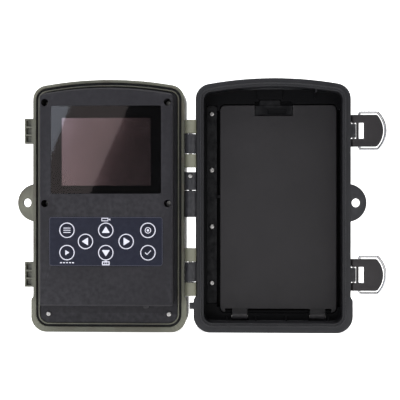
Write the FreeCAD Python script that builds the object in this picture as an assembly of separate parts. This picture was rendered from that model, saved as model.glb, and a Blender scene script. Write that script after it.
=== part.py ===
"""A trail camera, standing open on its foot: the electronics half on the left, the battery half on the right.

Millimetres, +Z up. The origin is the mouth of the tripod socket in the battery half's foot. The viewer looks
along +Y into both halves. At rest the case is open flat, so both rims lie in the plane y = RIM_Y.
Depths (d) are measured from the rim plane into a half, along +Y, and u is the distance from the hinge axis.
"""

import FreeCAD, Part
import math
import os

from FreeCAD import Vector

# ---- case ----
CASE_W = 87.3  # each half across its side walls
CASE_H = 145.0  # foot to the crown of the arched top
CROWN_R = 212.0  # the arched top
TOP_CORNER_R = 8.3
LOW_CORNER_R = 9.0
LEAST_CORNER_R = 1.2
FOOT_OUT = 1.2  # flare of the foot past each side wall
FOOT_H = 21.0
FOOT_BLEND_R = 2.0
FRONT_DEPTH = 34.0
REAR_DEPTH = 36.0
SOCKET_D = 20.0  # from the rim plane to the tripod socket's axis
WALL = 2.5
FRONT_EDGE_R = 6.0
REAR_EDGE_R = 4.0
REAR_GROW = 0.6  # the rear half stands this far outside the front one
BASE_EXTRA = 1.4  # the lower rim is this much wider than the side rims

# ---- seal ----
GROOVE_IN = 1.7
GROOVE_W = 1.4
GROOVE_D = 3.0
GASKET_T = 1.3
TONGUE_W = 0.7
TONGUE_H = 1.4
RIM_W = 4.0  # rim width, and the inset of the cover's flange and of the rear cavity

# ---- hinge ----
HINGE_GAP = 3.5  # hinge axis to the front half's side wall
BARREL_R = 3.3
PIN_R = 1.0
PIN_PLAY = 0.05
KNUCKLE_PLAY = 0.15  # each end
HINGE_UPPER_Z = 108.15
HINGE_LOWER_Z = 34.75
KNUCKLE_MID = 11.6
KNUCKLE_END = 7.8
RELIEF = 0.35  # between a barrel and the other half's wall
PIN_END = 0.6  # the pin stops this far inside the last knuckle

# ---- cable duct on the hinge axis ----
DUCT_JOIN_Z = 81.5
DUCT_CAP_TOP = 91.9
DUCT_FOOT_Z = 66.2
DUCT_PLAY = 0.15
COLLAR_R = 2.6  # collar of the lower duct, inside the cap's mouth
COLLAR_H = 1.1
LEAD_R = 0.9
LEAD_PLAY = 0.4
LEAD_BEND_R = 2.4
LEAD_OFF_Z = 3.6  # from the join to where each lead turns into its half
LEAD_FRONT_D = 5.4
LEAD_REAR_D = 17.5
DUCT_SCREW_UP = 8.1  # above the join

# ---- latches ----
LATCH_ZS = (("upper", 115.6), ("lower", 33.0))
LATCH_OUT = 1.95  # lever pivot outside the rear wall
LATCH_D = 4.5  # lever pivot behind the rim plane
LATCH_PIN_R = 0.7
LUG_R = 1.35
LUG_HALF = 3.9
LUG_BASE = 0.3  # the lug's foot beyond its eye
LEVER_HALF = 9.15
LEVER_FORK = 4.6  # half the gap between the lever's arms
LEVER_FORK_DEEP = 1.6
LEVER_T_FRONT = 1.5
LEVER_T_BACK = 1.3
LEVER_BAR = 1.3
LEVER_WINDOW = 3.0
BAIL_OFF = 3.4  # bail pivot from lever pivot
BAIL_WIRE_R = 0.75
BAIL_HALF = 10.6
BAIL_TIP = 14.8
BAIL_BOW_R = 14.7
BAIL_CORNER_R = 1.6
BAIL_END = 5.9
BAIL_PLAY = 0.05
LEVER_TIP_GAP = 0.6
CATCH_OUT = 5.0
CATCH_HALF = 7.25
CATCH_GAP = 0.3
CATCH_PITCH = 4.5  # of its three pockets
CATCH_RIM = 1.0
CATCH_DEEP = 2.6

# ---- padlock ears ----
EAR_Z = 74.3
EAR_R = 10.9
EAR_U_INSET = 1.9  # ear centre inside the side wall
EAR_HOLE_OUT = 3.6  # hole centre outside the front half's side wall
EAR_HOLE_R = 2.5
EAR_D0 = 0.3
EAR_T = 4.0

# ---- rear half: battery deck and door ----
DECK_D = 13.5
STRIP_W = 9.2  # deck strip between the cavity wall and the door on the hinge side
STRIP_T = 1.5
STRIP_IN = 1.6  # cavity wall to the strip
STRIP_SCREW_IN = 4.7
STRIP_SCREW_STEP = 33.0
SIDE_GROOVE = 2.0  # open groove beside the door on the hinge side
SIDE_GROOVE_D = 20.0
STRIP_POST_R = 2.4
CHANNEL_D = 24.0  # back of the wiring channel
DOOR_FAR = 2.2  # cavity wall to the door on the latch side
DOOR_Z0 = 10.2
DOOR_TOP_DROP = 13.7  # crown to the door's top edge
DOOR_T = 2.0
DOOR_R = 3.0
DOOR_GAP = 0.3
DOOR_GAP_LOW = 0.6
DOOR_GAP_TOP = 0.7
DOOR_REST = 1.2  # ledge under the door's edge
DOOR_FOOT_UP = 2.2  # middle of the door's lower edge above its corner feet
DOOR_FOOT_W = 3.0
DOOR_PIVOT_UP = 2.2  # pivot above the cavity floor
DOOR_PIVOT_D = 15.0
DOOR_LUG_R = 1.9
DOOR_LUG_W = 9.0
DOOR_LUG_SHIFTS = (-22.5, 22.9)  # from the middle of the door
DOOR_PIN_R = 0.9
DOOR_PIN_LEN = 14.0
LATCH_TAB_U = 48.0
TAB_W = 21.6
TAB_PLAY = 0.3
NOTCH_H = 6.3
TAB_T = 1.2
TAB_SINK = 0.7
TAB_FLANGE = 1.4  # the tab's hidden flange beyond the notch
TAB_FLANGE_D = 15.7
TAB_FLANGE_T = 0.45
TAB_TRAVEL = 1.8
NOSE_W = 12.0
NOSE_UP = 2.9
NOSE_SHIFT = -2.2  # middle of the nose from the middle of the tab
NOSE_D0 = 14.7
NOSE_D1 = 15.9
CATCH_BLOCK_U = (38.2, 53.2)
CATCH_BLOCK_FRONT = 12.6
CATCH_BLOCK_BACK = 14.4
FINGER_W = 10.6
FINGER_H = 2.9
FINGER_SHIFT = 1.9  # middle of the finger slot from the middle of the tab
TOP_RIB_U = 72.0  # rib that hangs from the cavity's ceiling
TOP_RIB_D = 4.0
LOW_RIB_SHIFTS = (-29.9, -13.1, 4.5, 29.3)  # ribs on the cavity's floor, from the middle of the door
LOW_RIB_D = 10.7
LOW_RIB_H = 2.6
RIB_HALF = 0.5

# ---- cells ----
CELL_PITCH = 15.1
CELL_WALL_GAP = 0.45  # half the space between two cells
CELL_R = CELL_PITCH / 2 - CELL_WALL_GAP
CELL_COLUMNS = 4
CELL_ROWS = 2
CELL_BODY = 49.2
CELL_NUB = 1.3
CELL_NUB_R = 2.7
SPRING_LEN = 5.0
SPRING_WIRE = 0.4
SPRING_R = 3.6
SPRING_RINGS = 4
SPRING_LINK_R = 0.3
PLATE_T = 0.5
PLATE_W = 9.0
TRAY_WALL = 1.6
TRAY_FLOOR = 1.3
TRAY_D0 = 16.4
TRAY_RIB = 0.5

# ---- foot fittings ----
INSERT_R = 4.6
INSERT_LEN = 9.0
TRIPOD_R = 3.175
TRIPOD_DEEP = 7.5
JACK_X = 12.0
JACK_W = 9.0
JACK_DEEP = 8.0
JACK_TOP = 11.0
JACK_BORE_R = 2.75
JACK_PIN_R = 1.0
JACK_SILL = 1.2  # foot wall between the plug's head and the jack
PLUG_HEAD_R = 5.0
PLUG_HEAD_T = 2.0
PLUG_PLAY = 0.15
PLUG_RECESS = 0.4
PLUG_STEM = 5.5

# ---- tree bracket ----
BRACKET_W = 58.0
BRACKET_H = 96.0
BRACKET_Z = 72.0
BRACKET_T = 2.5
CHEEK_T = 4.0
CHEEK_BAR = 3.0
STRAP_GAP = 5.0
STRAP_W = 30.4
TOOTH = 1.6
TEETH = 5
BRACKET_SCREW_X = 19.0
BRACKET_SCREW_Z = 42.0

# ---- front half: cover and block ----
FLANGE_RECESS = 0.6
FLANGE_T = 1.8
LEDGE_W = 1.2
LEDGE_D = 5.0
FIT_GAP = 0.2
BLOCK_H = 12.0  # block above the rim plane
BLOCK_INSET = 5.8
BLOCK_ROOM = 0.4  # free space round the block in the shut case
BLOCK_Z0 = 16.2
BLOCK_WALL = 1.8
BLOCK_BEVEL = 0.8
COVER_SCREW_INSET = 8.9
COVER_SCREW_DROPS = (14.0, 71.0)  # below the crown
FLANGE_SCREW_Z = 10.4
SCREW_HOLE_R = 2.05
SCREW_TUBE_R = 3.05
BOSS_R = 3.2
SCREW_HEAD_R = 1.7
SMALL_HEAD_R = 1.3  # heads of the screws in the strip, the flange and the duct cap
SCREW_HEAD_H = 1.1
SCREW_SHANK_R = 0.9
SCREW_LEN = 8.0

# ---- display ----
GLASS_W = 62.3
GLASS_H = 49.6
GLASS_DROP = 40.7  # crown to the window's centre
GLASS_T = 1.2
LCD_W = 60.0
LCD_H = 44.0
LCD_T = 3.1
LCD_BELOW = 1.1  # display centre below the window's centre
VIEW_W = 54.0
VIEW_H = 41.0
FRAME_WALL = 1.6
FRAME_BACK = 0.9
PANE_GAP = 0.1

# ---- keys ----
PAD_W = 64.4
PAD_H = 27.8
PAD_Z = 52.6
PAD_CORNER_R = 2.3
PAD_T = 0.5
PAD_PROUD = 0.1
KEY_R = 4.45
KEY_PLAY = 0.15
KEY_FLANGE_R = 5.1
KEY_FLANGE_T = 0.6
KEY_STEM_R = 1.5
KEY_TRAVEL = 0.35
KEY_SIDE = 11.5
KEY_ROW = 6.3
KEY_LEFT = 22.0
KEY_RIGHT = 23.8
KEY_BOARD_D = -8.0
KEY_BOARD_T = 1.2
KEY_BOARD_W = 64.0
KEY_BOARD_H = 26.0
KEY_POST_X = 30.0  # posts that carry the key board, from its centre
KEY_POST_Z = 11.0
POST_R = 1.6
DOME_H = 0.5
DOME_R = 2.5

# ---- boards and sockets of the front half ----
MAIN_BOARD_D = -3.0
MAIN_BOARD_T = 1.6
MAIN_BOARD_W = 61.0
MAIN_BOARD_Z = (20.0, 76.0)
RIB_T = 4.0  # ribs that carry the main board
RIB_DROP = 6.5  # foot of the upper ones below the board's top
CARD_W = 24.0
CARD_H = 32.0
CARD_T = 2.1
CARD_X = -12.0
CARD_PROUD = 0.6
SLOT_WALL = 0.35
USB_X = 9.0
USB_W = 8.0
USB_H = 3.0
SWITCH_X = 22.0
SWITCH_W = 12.0
SWITCH_T = 4.0
KNOB_W = 2.6
KNOB_T = 2.0
KNOB_TRAVEL = 2.0  # to each side
KNOB_OUT = 1.8
SENSOR_BOARD_D = 18.8
BOARD_T = 1.2
SENSOR_BOARD_W = 30.0
SENSOR_BOARD_H = 62.0
SENSOR_BOARD_Z = 54.0
SENSOR_POST_X = 12.0
SENSOR_POST_Z = 58.0
IR_POST_X = 24.0
IR_POST_Z = 15.5  # from the window's centre

# ---- camera face of the front half ----
FASCIA_W = 62.0
FASCIA_Z = (14.0, 132.0)
FASCIA_R = 9.0
FASCIA_SINK = 1.2
FASCIA_PROUD = 1.0
FACE_LEDGE = 2.0
IR_W = 50.0
IR_H = 36.0
IR_Z = 108.0
IR_BOARD_D = 25.0
LED_R = 1.5
LED_H = 4.5
LED_COLUMNS = 7
LED_ROWS = 5
LED_PITCH = 6.2
LENS_Z = 72.0
LENS_R = 8.0
LENS_BORE_R = 5.5
LENS_D0 = 20.0
LENS_PROUD = 2.0
LENS_PLAY = 0.05  # barrel in its holes
IMAGE_W = 7.5
IMAGE_H = 6.0
IMAGE_T = 1.4
PIR_W = 34.0
PIR_H = 28.0
PIR_Z = 36.0
PIR_R = 32.0
PIR_T = 0.9
PIR_FLANGE = 2.0

# ---- hinge bumper ----
BUMPER_OUT = 2.4
BUMPER_IN = 1.5
BUMPER_D = 0.6
BUMPER_W = 3.0
BUMPER_Z = 13.4
BUMPER_H = 3.6

# ---- frame ----
HINGE_X = -(CASE_W / 2 + HINGE_GAP)
RIM_Y = -SOCKET_D
REAR_X = 0.0
FRONT_X = 2 * HINGE_X
CROWN_Z = CASE_H - CROWN_R  # centre of the arched top
LATCH_X = CASE_W / 2 + REAR_GROW + LATCH_OUT
LATCH_Y = RIM_Y + LATCH_D

# ---- places that follow ----
CAVITY_FLOOR = RIM_W + BASE_EXTRA
REAR_WALL_U = HINGE_GAP - REAR_GROW
DOOR_U0 = HINGE_GAP + RIM_W + STRIP_W
DOOR_U1 = HINGE_GAP + CASE_W - RIM_W - DOOR_FAR
DOOR_Z1 = CASE_H - DOOR_TOP_DROP
DOOR_PIVOT_Z = CAVITY_FLOOR + DOOR_PIVOT_UP
DOOR_MID_U = (DOOR_U0 + DOOR_U1) / 2
DOOR_CX = HINGE_X + DOOR_MID_U
DOOR_LUG_US = [DOOR_MID_U + shift for shift in DOOR_LUG_SHIFTS]
LOW_RIB_US = [DOOR_MID_U + shift for shift in LOW_RIB_SHIFTS]
BACK_D = REAR_DEPTH - WALL
ROW_LEN = CELL_BODY + CELL_NUB + SPRING_LEN + PLATE_T
TRAY_W = CELL_COLUMNS * CELL_PITCH + TRAY_RIB + 2 * TRAY_WALL
TRAY_H = CELL_ROWS * ROW_LEN + (CELL_ROWS + 1) * TRAY_WALL
TRAY_Z0 = (DOOR_Z0 + DOOR_Z1) / 2 - TRAY_H / 2
TRAY_SIDE_U = DOOR_MID_U - TRAY_W / 2
CELL_D = BACK_D - TRAY_FLOOR - CELL_R - 0.05
SCREW_X = CASE_W / 2 - COVER_SCREW_INSET
FACE_IN_D = FRONT_DEPTH - WALL
GLASS_Z = CASE_H - GLASS_DROP
LCD_Z = GLASS_Z - LCD_BELOW
BLOCK_IN_D = BLOCK_WALL - BLOCK_H  # inner face of the block's front wall
SCREW_SEAT_D = FLANGE_RECESS


# ---- plain shapes ----
def box(x0, x1, y0, y1, z0, z1):
    return Part.makeBox(x1 - x0, y1 - y0, z1 - z0, Vector(x0, y0, z0))


def rod_x(y, z, x0, x1, r):
    return Part.makeCylinder(r, x1 - x0, Vector(x0, y, z), Vector(1, 0, 0))


def rod_y(x, z, y0, y1, r):
    return Part.makeCylinder(r, y1 - y0, Vector(x, y0, z), Vector(0, 1, 0))


def rod_z(x, y, z0, z1, r):
    return Part.makeCylinder(r, z1 - z0, Vector(x, y, z0), Vector(0, 0, 1))


def slab(cx, cz, w, h, r, y0, y1):
    """A rounded rectangle in the XZ plane, from y0 to y1."""
    block = box(cx - w / 2, cx + w / 2, y0, y1, cz - h / 2, cz + h / 2)
    posts = [e for e in block.Edges if abs(e.Vertexes[0].Y - e.Vertexes[1].Y) > (y1 - y0) / 2]
    return block.makeFillet(r, posts)


def fuse(shapes):
    first, rest = shapes[0], shapes[1:]
    return first.fuse(rest).removeSplitter() if rest else first


def cut(shape, tools):
    return shape.cut(tools).removeSplitter() if tools else shape


def arc(a, b, c):
    return Part.Arc(a, b, c).toShape()


def line(a, b):
    return Part.LineSegment(a, b).toShape()


def sweep(path, start, direction, radius):
    """A round wire of this radius along a path of straight runs and tangent arcs."""
    ring = Part.Wire([Part.Circle(start, direction, radius).toShape()])
    return Part.Wire(path).makePipeShell([ring], True, False)


def edges_at(shape, y, least=0.0):
    """The edges that lie wholly in the plane at this y."""
    found = []
    for edge in shape.Edges:
        box_of = edge.BoundBox
        if abs(box_of.YMin - y) < 1e-4 and abs(box_of.YMax - y) < 1e-4 and edge.Length > least:
            found.append(edge)
    return found


# ---- the outline that both halves share ----
def outline(inset, floor, foot=0.0, low_r=None):
    """The case outline, moved in by inset, as one wire in the plane y = 0, centred on x = 0."""
    half = CASE_W / 2 - inset
    crown = CROWN_R - inset
    top_r = max(TOP_CORNER_R - inset, LEAST_CORNER_R)
    if low_r is None:
        low_r = max(LOW_CORNER_R - inset, LEAST_CORNER_R)
    corner_x = half - top_r
    corner_z = CROWN_Z + math.sqrt((crown - top_r) ** 2 - corner_x**2)
    lean = math.atan2(corner_z - CROWN_Z, corner_x)
    low_half = half + foot
    blend = math.sqrt(max(4 * FOOT_BLEND_R * foot - foot**2, 0))
    turn = math.asin(blend / 2 / FOOT_BLEND_R)
    diagonal = math.sqrt(0.5)

    def side(way):
        def at(x, z):
            return Vector(way * x, 0, z)

        z_low = floor + low_r
        edges = [
            arc(
                at(low_half - low_r, floor),
                at(low_half - low_r * (1 - diagonal), floor + low_r * (1 - diagonal)),
                at(low_half, z_low),
            )
        ]
        z_side = z_low
        if foot > 0:
            z_side = FOOT_H
            z_blend = FOOT_H - blend
            swing_x = FOOT_BLEND_R * (1 - math.cos(turn / 2))
            swing_z = FOOT_BLEND_R * math.sin(turn / 2)
            middle = at(half + foot / 2, FOOT_H - blend / 2)
            edges.append(line(at(low_half, z_low), at(low_half, z_blend)))
            edges.append(arc(at(low_half, z_blend), at(low_half - swing_x, z_blend + swing_z), middle))
            edges.append(arc(middle, at(half + swing_x, FOOT_H - swing_z), at(half, FOOT_H)))
        edges.append(line(at(half, z_side), at(half, corner_z)))
        middle = at(corner_x + top_r * math.cos(lean / 2), corner_z + top_r * math.sin(lean / 2))
        tangent = at(corner_x + top_r * math.cos(lean), corner_z + top_r * math.sin(lean))
        edges.append(arc(at(half, corner_z), middle, tangent))
        return edges, tangent, at(low_half - low_r, floor)

    right, right_top, right_low = side(1)
    left, left_top, left_low = side(-1)
    crown_arc = arc(right_top, Vector(0, 0, CASE_H - inset), left_top)
    edges = right + [crown_arc] + left + [line(left_low, right_low)]
    return Part.Wire(Part.__sortEdges__(edges))


def half_prism(cx, d0, d1, inset, floor=None, foot=0.0, low_r=None):
    """The outline of a half as a solid between two depths."""
    if floor is None:
        floor = inset + BASE_EXTRA
    face = Part.Face(outline(inset, floor, foot, low_r))
    face.translate(Vector(cx, RIM_Y + d0, 0))
    return face.extrude(Vector(0, d1 - d0, 0))


def seal_ring(cx, d0, d1, inset, width):
    return half_prism(cx, d0, d1, inset).cut(half_prism(cx, d0 - 1, d1 + 1, inset + width))


def case_body(cx, depth, grow, edge_r):
    """A half's outer form, with its far edge rounded."""
    body = half_prism(cx, 0, depth, -grow, 0.0, FOOT_OUT)
    return body.makeFillet(edge_r, edges_at(body, RIM_Y + depth))


def case_hollow(cx, d0, depth, edge_r):
    """The hollow that leaves one wall's thickness."""
    hollow = half_prism(cx, d0, depth - WALL, WALL)
    return hollow.makeFillet(edge_r - WALL, edges_at(hollow, RIM_Y + depth - WALL))


def front_side(u):
    return HINGE_X - u


def rear_side(u):
    return HINGE_X + u


def u_box(side, u0, u1, d0, d1, z0, z1):
    """A box by distance from the hinge axis and depth; side is front_side or rear_side."""
    xs = sorted((side(u0), side(u1)))
    return box(xs[0], xs[1], RIM_Y + d0, RIM_Y + d1, z0, z1)


def pan_screw(x, z, d_seat, length, head_r=SCREW_HEAD_R):
    """A pan-head screw driven along +Y, its head on the seat, with a cross recess."""
    y = RIM_Y + d_seat
    head = rod_y(x, z, y - SCREW_HEAD_H, y, head_r)
    head = head.makeFillet(SCREW_HEAD_H * 0.45, edges_at(head, y - SCREW_HEAD_H))
    shank = rod_y(x, z, y, y + length, SCREW_SHANK_R)
    tip = shank.makeChamfer(SCREW_SHANK_R * 0.5, edges_at(shank, y + length))
    arm = head_r * 0.62
    slit = head_r * 0.13
    top = y - SCREW_HEAD_H
    cross = fuse(
        [
            box(x - arm, x + arm, top, top + 0.5, z - slit, z + slit),
            box(x - slit, x + slit, top, top + 0.5, z - arm, z + arm),
        ]
    )
    return cut(fuse([head, tip]), [cross])


# ---- hinge ----
def knuckle_spans(z):
    """The ends of the middle knuckle, and of the two outer ones, about a hinge's centre."""
    mid = KNUCKLE_MID / 2
    middle = (z - mid + KNUCKLE_PLAY, z + mid - KNUCKLE_PLAY)
    outer = ((z - mid - KNUCKLE_END, z - mid), (z + mid, z + mid + KNUCKLE_END))
    return middle, outer


def knuckle(side, wall_u, z0, z1):
    barrel = rod_z(HINGE_X, RIM_Y, z0, z1, BARREL_R)
    arm = u_box(side, 0, wall_u + WALL * 0.6, 0, BARREL_R, z0, z1)
    return barrel.fuse(arm)


def barrel_relief(z0, z1):
    return rod_z(HINGE_X, RIM_Y, z0 - RELIEF, z1 + RELIEF, BARREL_R + RELIEF)


def hinge_pins():
    pins = []
    for z in (HINGE_UPPER_Z, HINGE_LOWER_Z):
        middle, outer = knuckle_spans(z)
        pins.append(rod_z(HINGE_X, RIM_Y, outer[0][0] + PIN_END, outer[1][1] - PIN_END, PIN_R))
    return Part.makeCompound(pins)


def lead_path(way, side, depth, end_u):
    """A lead from the join on the hinge axis, turning back and then into its half."""
    z_turn = DUCT_JOIN_Z + way * LEAD_OFF_Z
    r = LEAD_BEND_R
    inward = side(1) - side(0)
    start = Vector(HINGE_X, RIM_Y, DUCT_JOIN_Z)
    a = Vector(HINGE_X, RIM_Y, z_turn - way * r)
    b = Vector(HINGE_X, RIM_Y + r, z_turn)
    c = Vector(HINGE_X, RIM_Y + depth - r, z_turn)
    e = Vector(HINGE_X + inward * r, RIM_Y + depth, z_turn)
    end = Vector(side(end_u), RIM_Y + depth, z_turn)
    bend = r * (1 - math.sqrt(0.5))
    path = [
        line(start, a),
        arc(a, Vector(HINGE_X, RIM_Y + bend, z_turn - way * bend), b),
        line(b, c),
        arc(c, Vector(HINGE_X + inward * bend, RIM_Y + depth - bend, z_turn), e),
        line(e, end),
    ]
    return path, start, z_turn


def power_lead(way, side, depth, end_u, radius):
    path, start, z_turn = lead_path(way, side, depth, end_u)
    return sweep(path, start, Vector(0, 0, way), radius)


def lead_room(way, side, depth, end_u):
    """The channel that a lead runs in."""
    room = LEAD_R + LEAD_PLAY
    z_turn = DUCT_JOIN_Z + way * LEAD_OFF_Z
    z_near, z_far = sorted((DUCT_JOIN_Z - way * 2, z_turn + way * room))
    down = rod_z(HINGE_X, RIM_Y, z_near, z_far, room)
    back = u_box(side, -room, room, 0, depth + room, z_turn - room, z_turn + room)
    across = u_box(side, -room, end_u, depth - room, depth + room, z_turn - room, z_turn + room)
    return [down, back, across]


# ---- rear half ----
def rear_duct():
    """The lower half of the cable duct, which runs back along the hinge-side wall."""
    top = DUCT_JOIN_Z - DUCT_PLAY
    barrel = rod_z(HINGE_X, RIM_Y, DUCT_FOOT_Z, top, BARREL_R)
    room = LEAD_R + LEAD_PLAY + 1.0
    fin = u_box(rear_side, -room, REAR_WALL_U + 1, 0, LEAD_REAR_D + room, DUCT_FOOT_Z, top)
    collar = rod_z(HINGE_X, RIM_Y, top - 1, top + COLLAR_H, COLLAR_R)
    return fuse([barrel, fin, collar])


def door_pocket():
    """The recess in the deck that the door lies in."""
    u0, u1 = DOOR_U0 - DOOR_GAP, DOOR_U1 + DOOR_GAP
    z0, z1 = DOOR_Z0 - DOOR_GAP_LOW, DOOR_Z1 + DOOR_GAP_TOP
    cx = rear_side((u0 + u1) / 2)
    return slab(cx, (z0 + z1) / 2, u1 - u0, z1 - z0, DOOR_R, RIM_Y + DECK_D - 1, RIM_Y + DECK_D + DOOR_T)


def door_grooves():
    """Open grooves in the deck along both sides of the door."""
    z0, z1 = DOOR_Z0 + DOOR_R, DOOR_Z1 - DOOR_R
    far = HINGE_GAP + CASE_W - RIM_W
    near = u_box(rear_side, DOOR_U0 - SIDE_GROOVE + 0.2, DOOR_U0 + 0.4, DECK_D - 1, SIDE_GROOVE_D, z0, z1)
    return [near, u_box(rear_side, DOOR_U1 - 0.4, far - 0.3, DECK_D - 1, SIDE_GROOVE_D, z0, z1)]


def cell_bay():
    """The room behind the door that holds the tray."""
    u0, u1 = DOOR_U0 + DOOR_REST, DOOR_U1 - DOOR_REST
    z0, z1 = DOOR_Z0 + DOOR_REST, DOOR_Z1 - DOOR_REST
    return u_box(rear_side, u0, u1, DECK_D, BACK_D, z0, z1)


def door_lug_pockets():
    pockets = []
    for u in DOOR_LUG_US:
        half = DOOR_LUG_W / 2 + DOOR_GAP
        deep = DOOR_PIVOT_D + DOOR_LUG_R + DOOR_GAP
        pockets.append(u_box(rear_side, u - half, u + half, DECK_D - 1, deep, CAVITY_FLOOR, DOOR_Z0 + 2))
        pin_half = DOOR_PIN_LEN / 2
        x = rear_side(u)
        pockets.append(rod_x(RIM_Y + DOOR_PIVOT_D, DOOR_PIVOT_Z, x - pin_half, x + pin_half, DOOR_PIN_R))
    return pockets


def strip_recess():
    """Where the wiring cover lies, and the channel under it."""
    u0, u1, z0, z1 = strip_bounds()
    gap = FIT_GAP
    seat = u_box(rear_side, u0 - gap, u1 + gap, DECK_D - 1, DECK_D + STRIP_T, z0 - gap, z1 + gap)
    channel = u_box(rear_side, u0 + 0.8, u1 - 0.8, DECK_D, CHANNEL_D, z0 + 5, z1 - 5)
    holes = []
    for x, z in strip_screw_places():
        holes.append(rod_y(x, z, RIM_Y + DECK_D, RIM_Y + CHANNEL_D - 3, SCREW_SHANK_R))
    return [seat, channel] + holes


def strip_bounds():
    u0 = HINGE_GAP + RIM_W + STRIP_IN
    u1 = DOOR_U0 - SIDE_GROOVE
    return u0, u1, CAVITY_FLOOR + 10.0, CASE_H - 14.0


def strip_screw_places():
    u0, u1, z0, z1 = strip_bounds()
    x = rear_side((u0 + u1) / 2)
    return [(x, z1 - STRIP_SCREW_IN - i * STRIP_SCREW_STEP) for i in range(4)]


def strip_posts():
    """Posts in the channel that take the strip's screws."""
    posts = []
    for x, z in strip_screw_places():
        post = rod_y(x, z, RIM_Y + DECK_D + STRIP_T, RIM_Y + CHANNEL_D + 1, STRIP_POST_R)
        posts.append(post.cut(rod_y(x, z, RIM_Y + DECK_D + 1, RIM_Y + CHANNEL_D - 3, SCREW_SHANK_R)))
    return posts


def catch_lug(z):
    """A lug on the rear wall that carries a latch lever's pin."""
    wall_x = CASE_W / 2 + REAR_GROW
    foot = LUG_HALF + LUG_BASE
    base = box(wall_x - 1, wall_x + 0.6, LATCH_Y - 2.4, LATCH_Y + 2.4, z - foot, z + foot)
    neck = box(wall_x - 1, LATCH_X, LATCH_Y - LUG_R, LATCH_Y + LUG_R, z - LUG_HALF, z + LUG_HALF)
    eye = rod_z(LATCH_X, LATCH_Y, z - LUG_HALF, z + LUG_HALF, LUG_R)
    return [base, neck, eye]


def ear(side, grow):
    """A padlock ear, outside the side wall opposite the hinge."""
    wall_u = HINGE_GAP + CASE_W + grow
    cx = side(wall_u - EAR_U_INSET)
    hole_x = side(HINGE_GAP + CASE_W + EAR_HOLE_OUT)
    y0 = RIM_Y + EAR_D0
    lobe = rod_y(cx, EAR_Z, y0, y0 + EAR_T, EAR_R)
    lobe = lobe.makeFillet(0.6, edges_at(lobe, y0) + edges_at(lobe, y0 + EAR_T))
    outside = u_box(side, wall_u - 1.2, wall_u + EAR_R, EAR_D0 - 1, EAR_D0 + EAR_T + 1, 0, CASE_H)
    return lobe.common(outside).cut(rod_y(hole_x, EAR_Z, y0 - 1, y0 + EAR_T + 1, EAR_HOLE_R))


def hinge_bumper():
    """A small rubber block set in the foot's flare on the hinge side."""
    u = REAR_WALL_U - FOOT_OUT
    u0, u1 = u - BUMPER_OUT, u + BUMPER_IN
    return u_box(rear_side, u0, u1, BUMPER_D, BUMPER_D + BUMPER_W, BUMPER_Z, BUMPER_Z + BUMPER_H)


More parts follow.
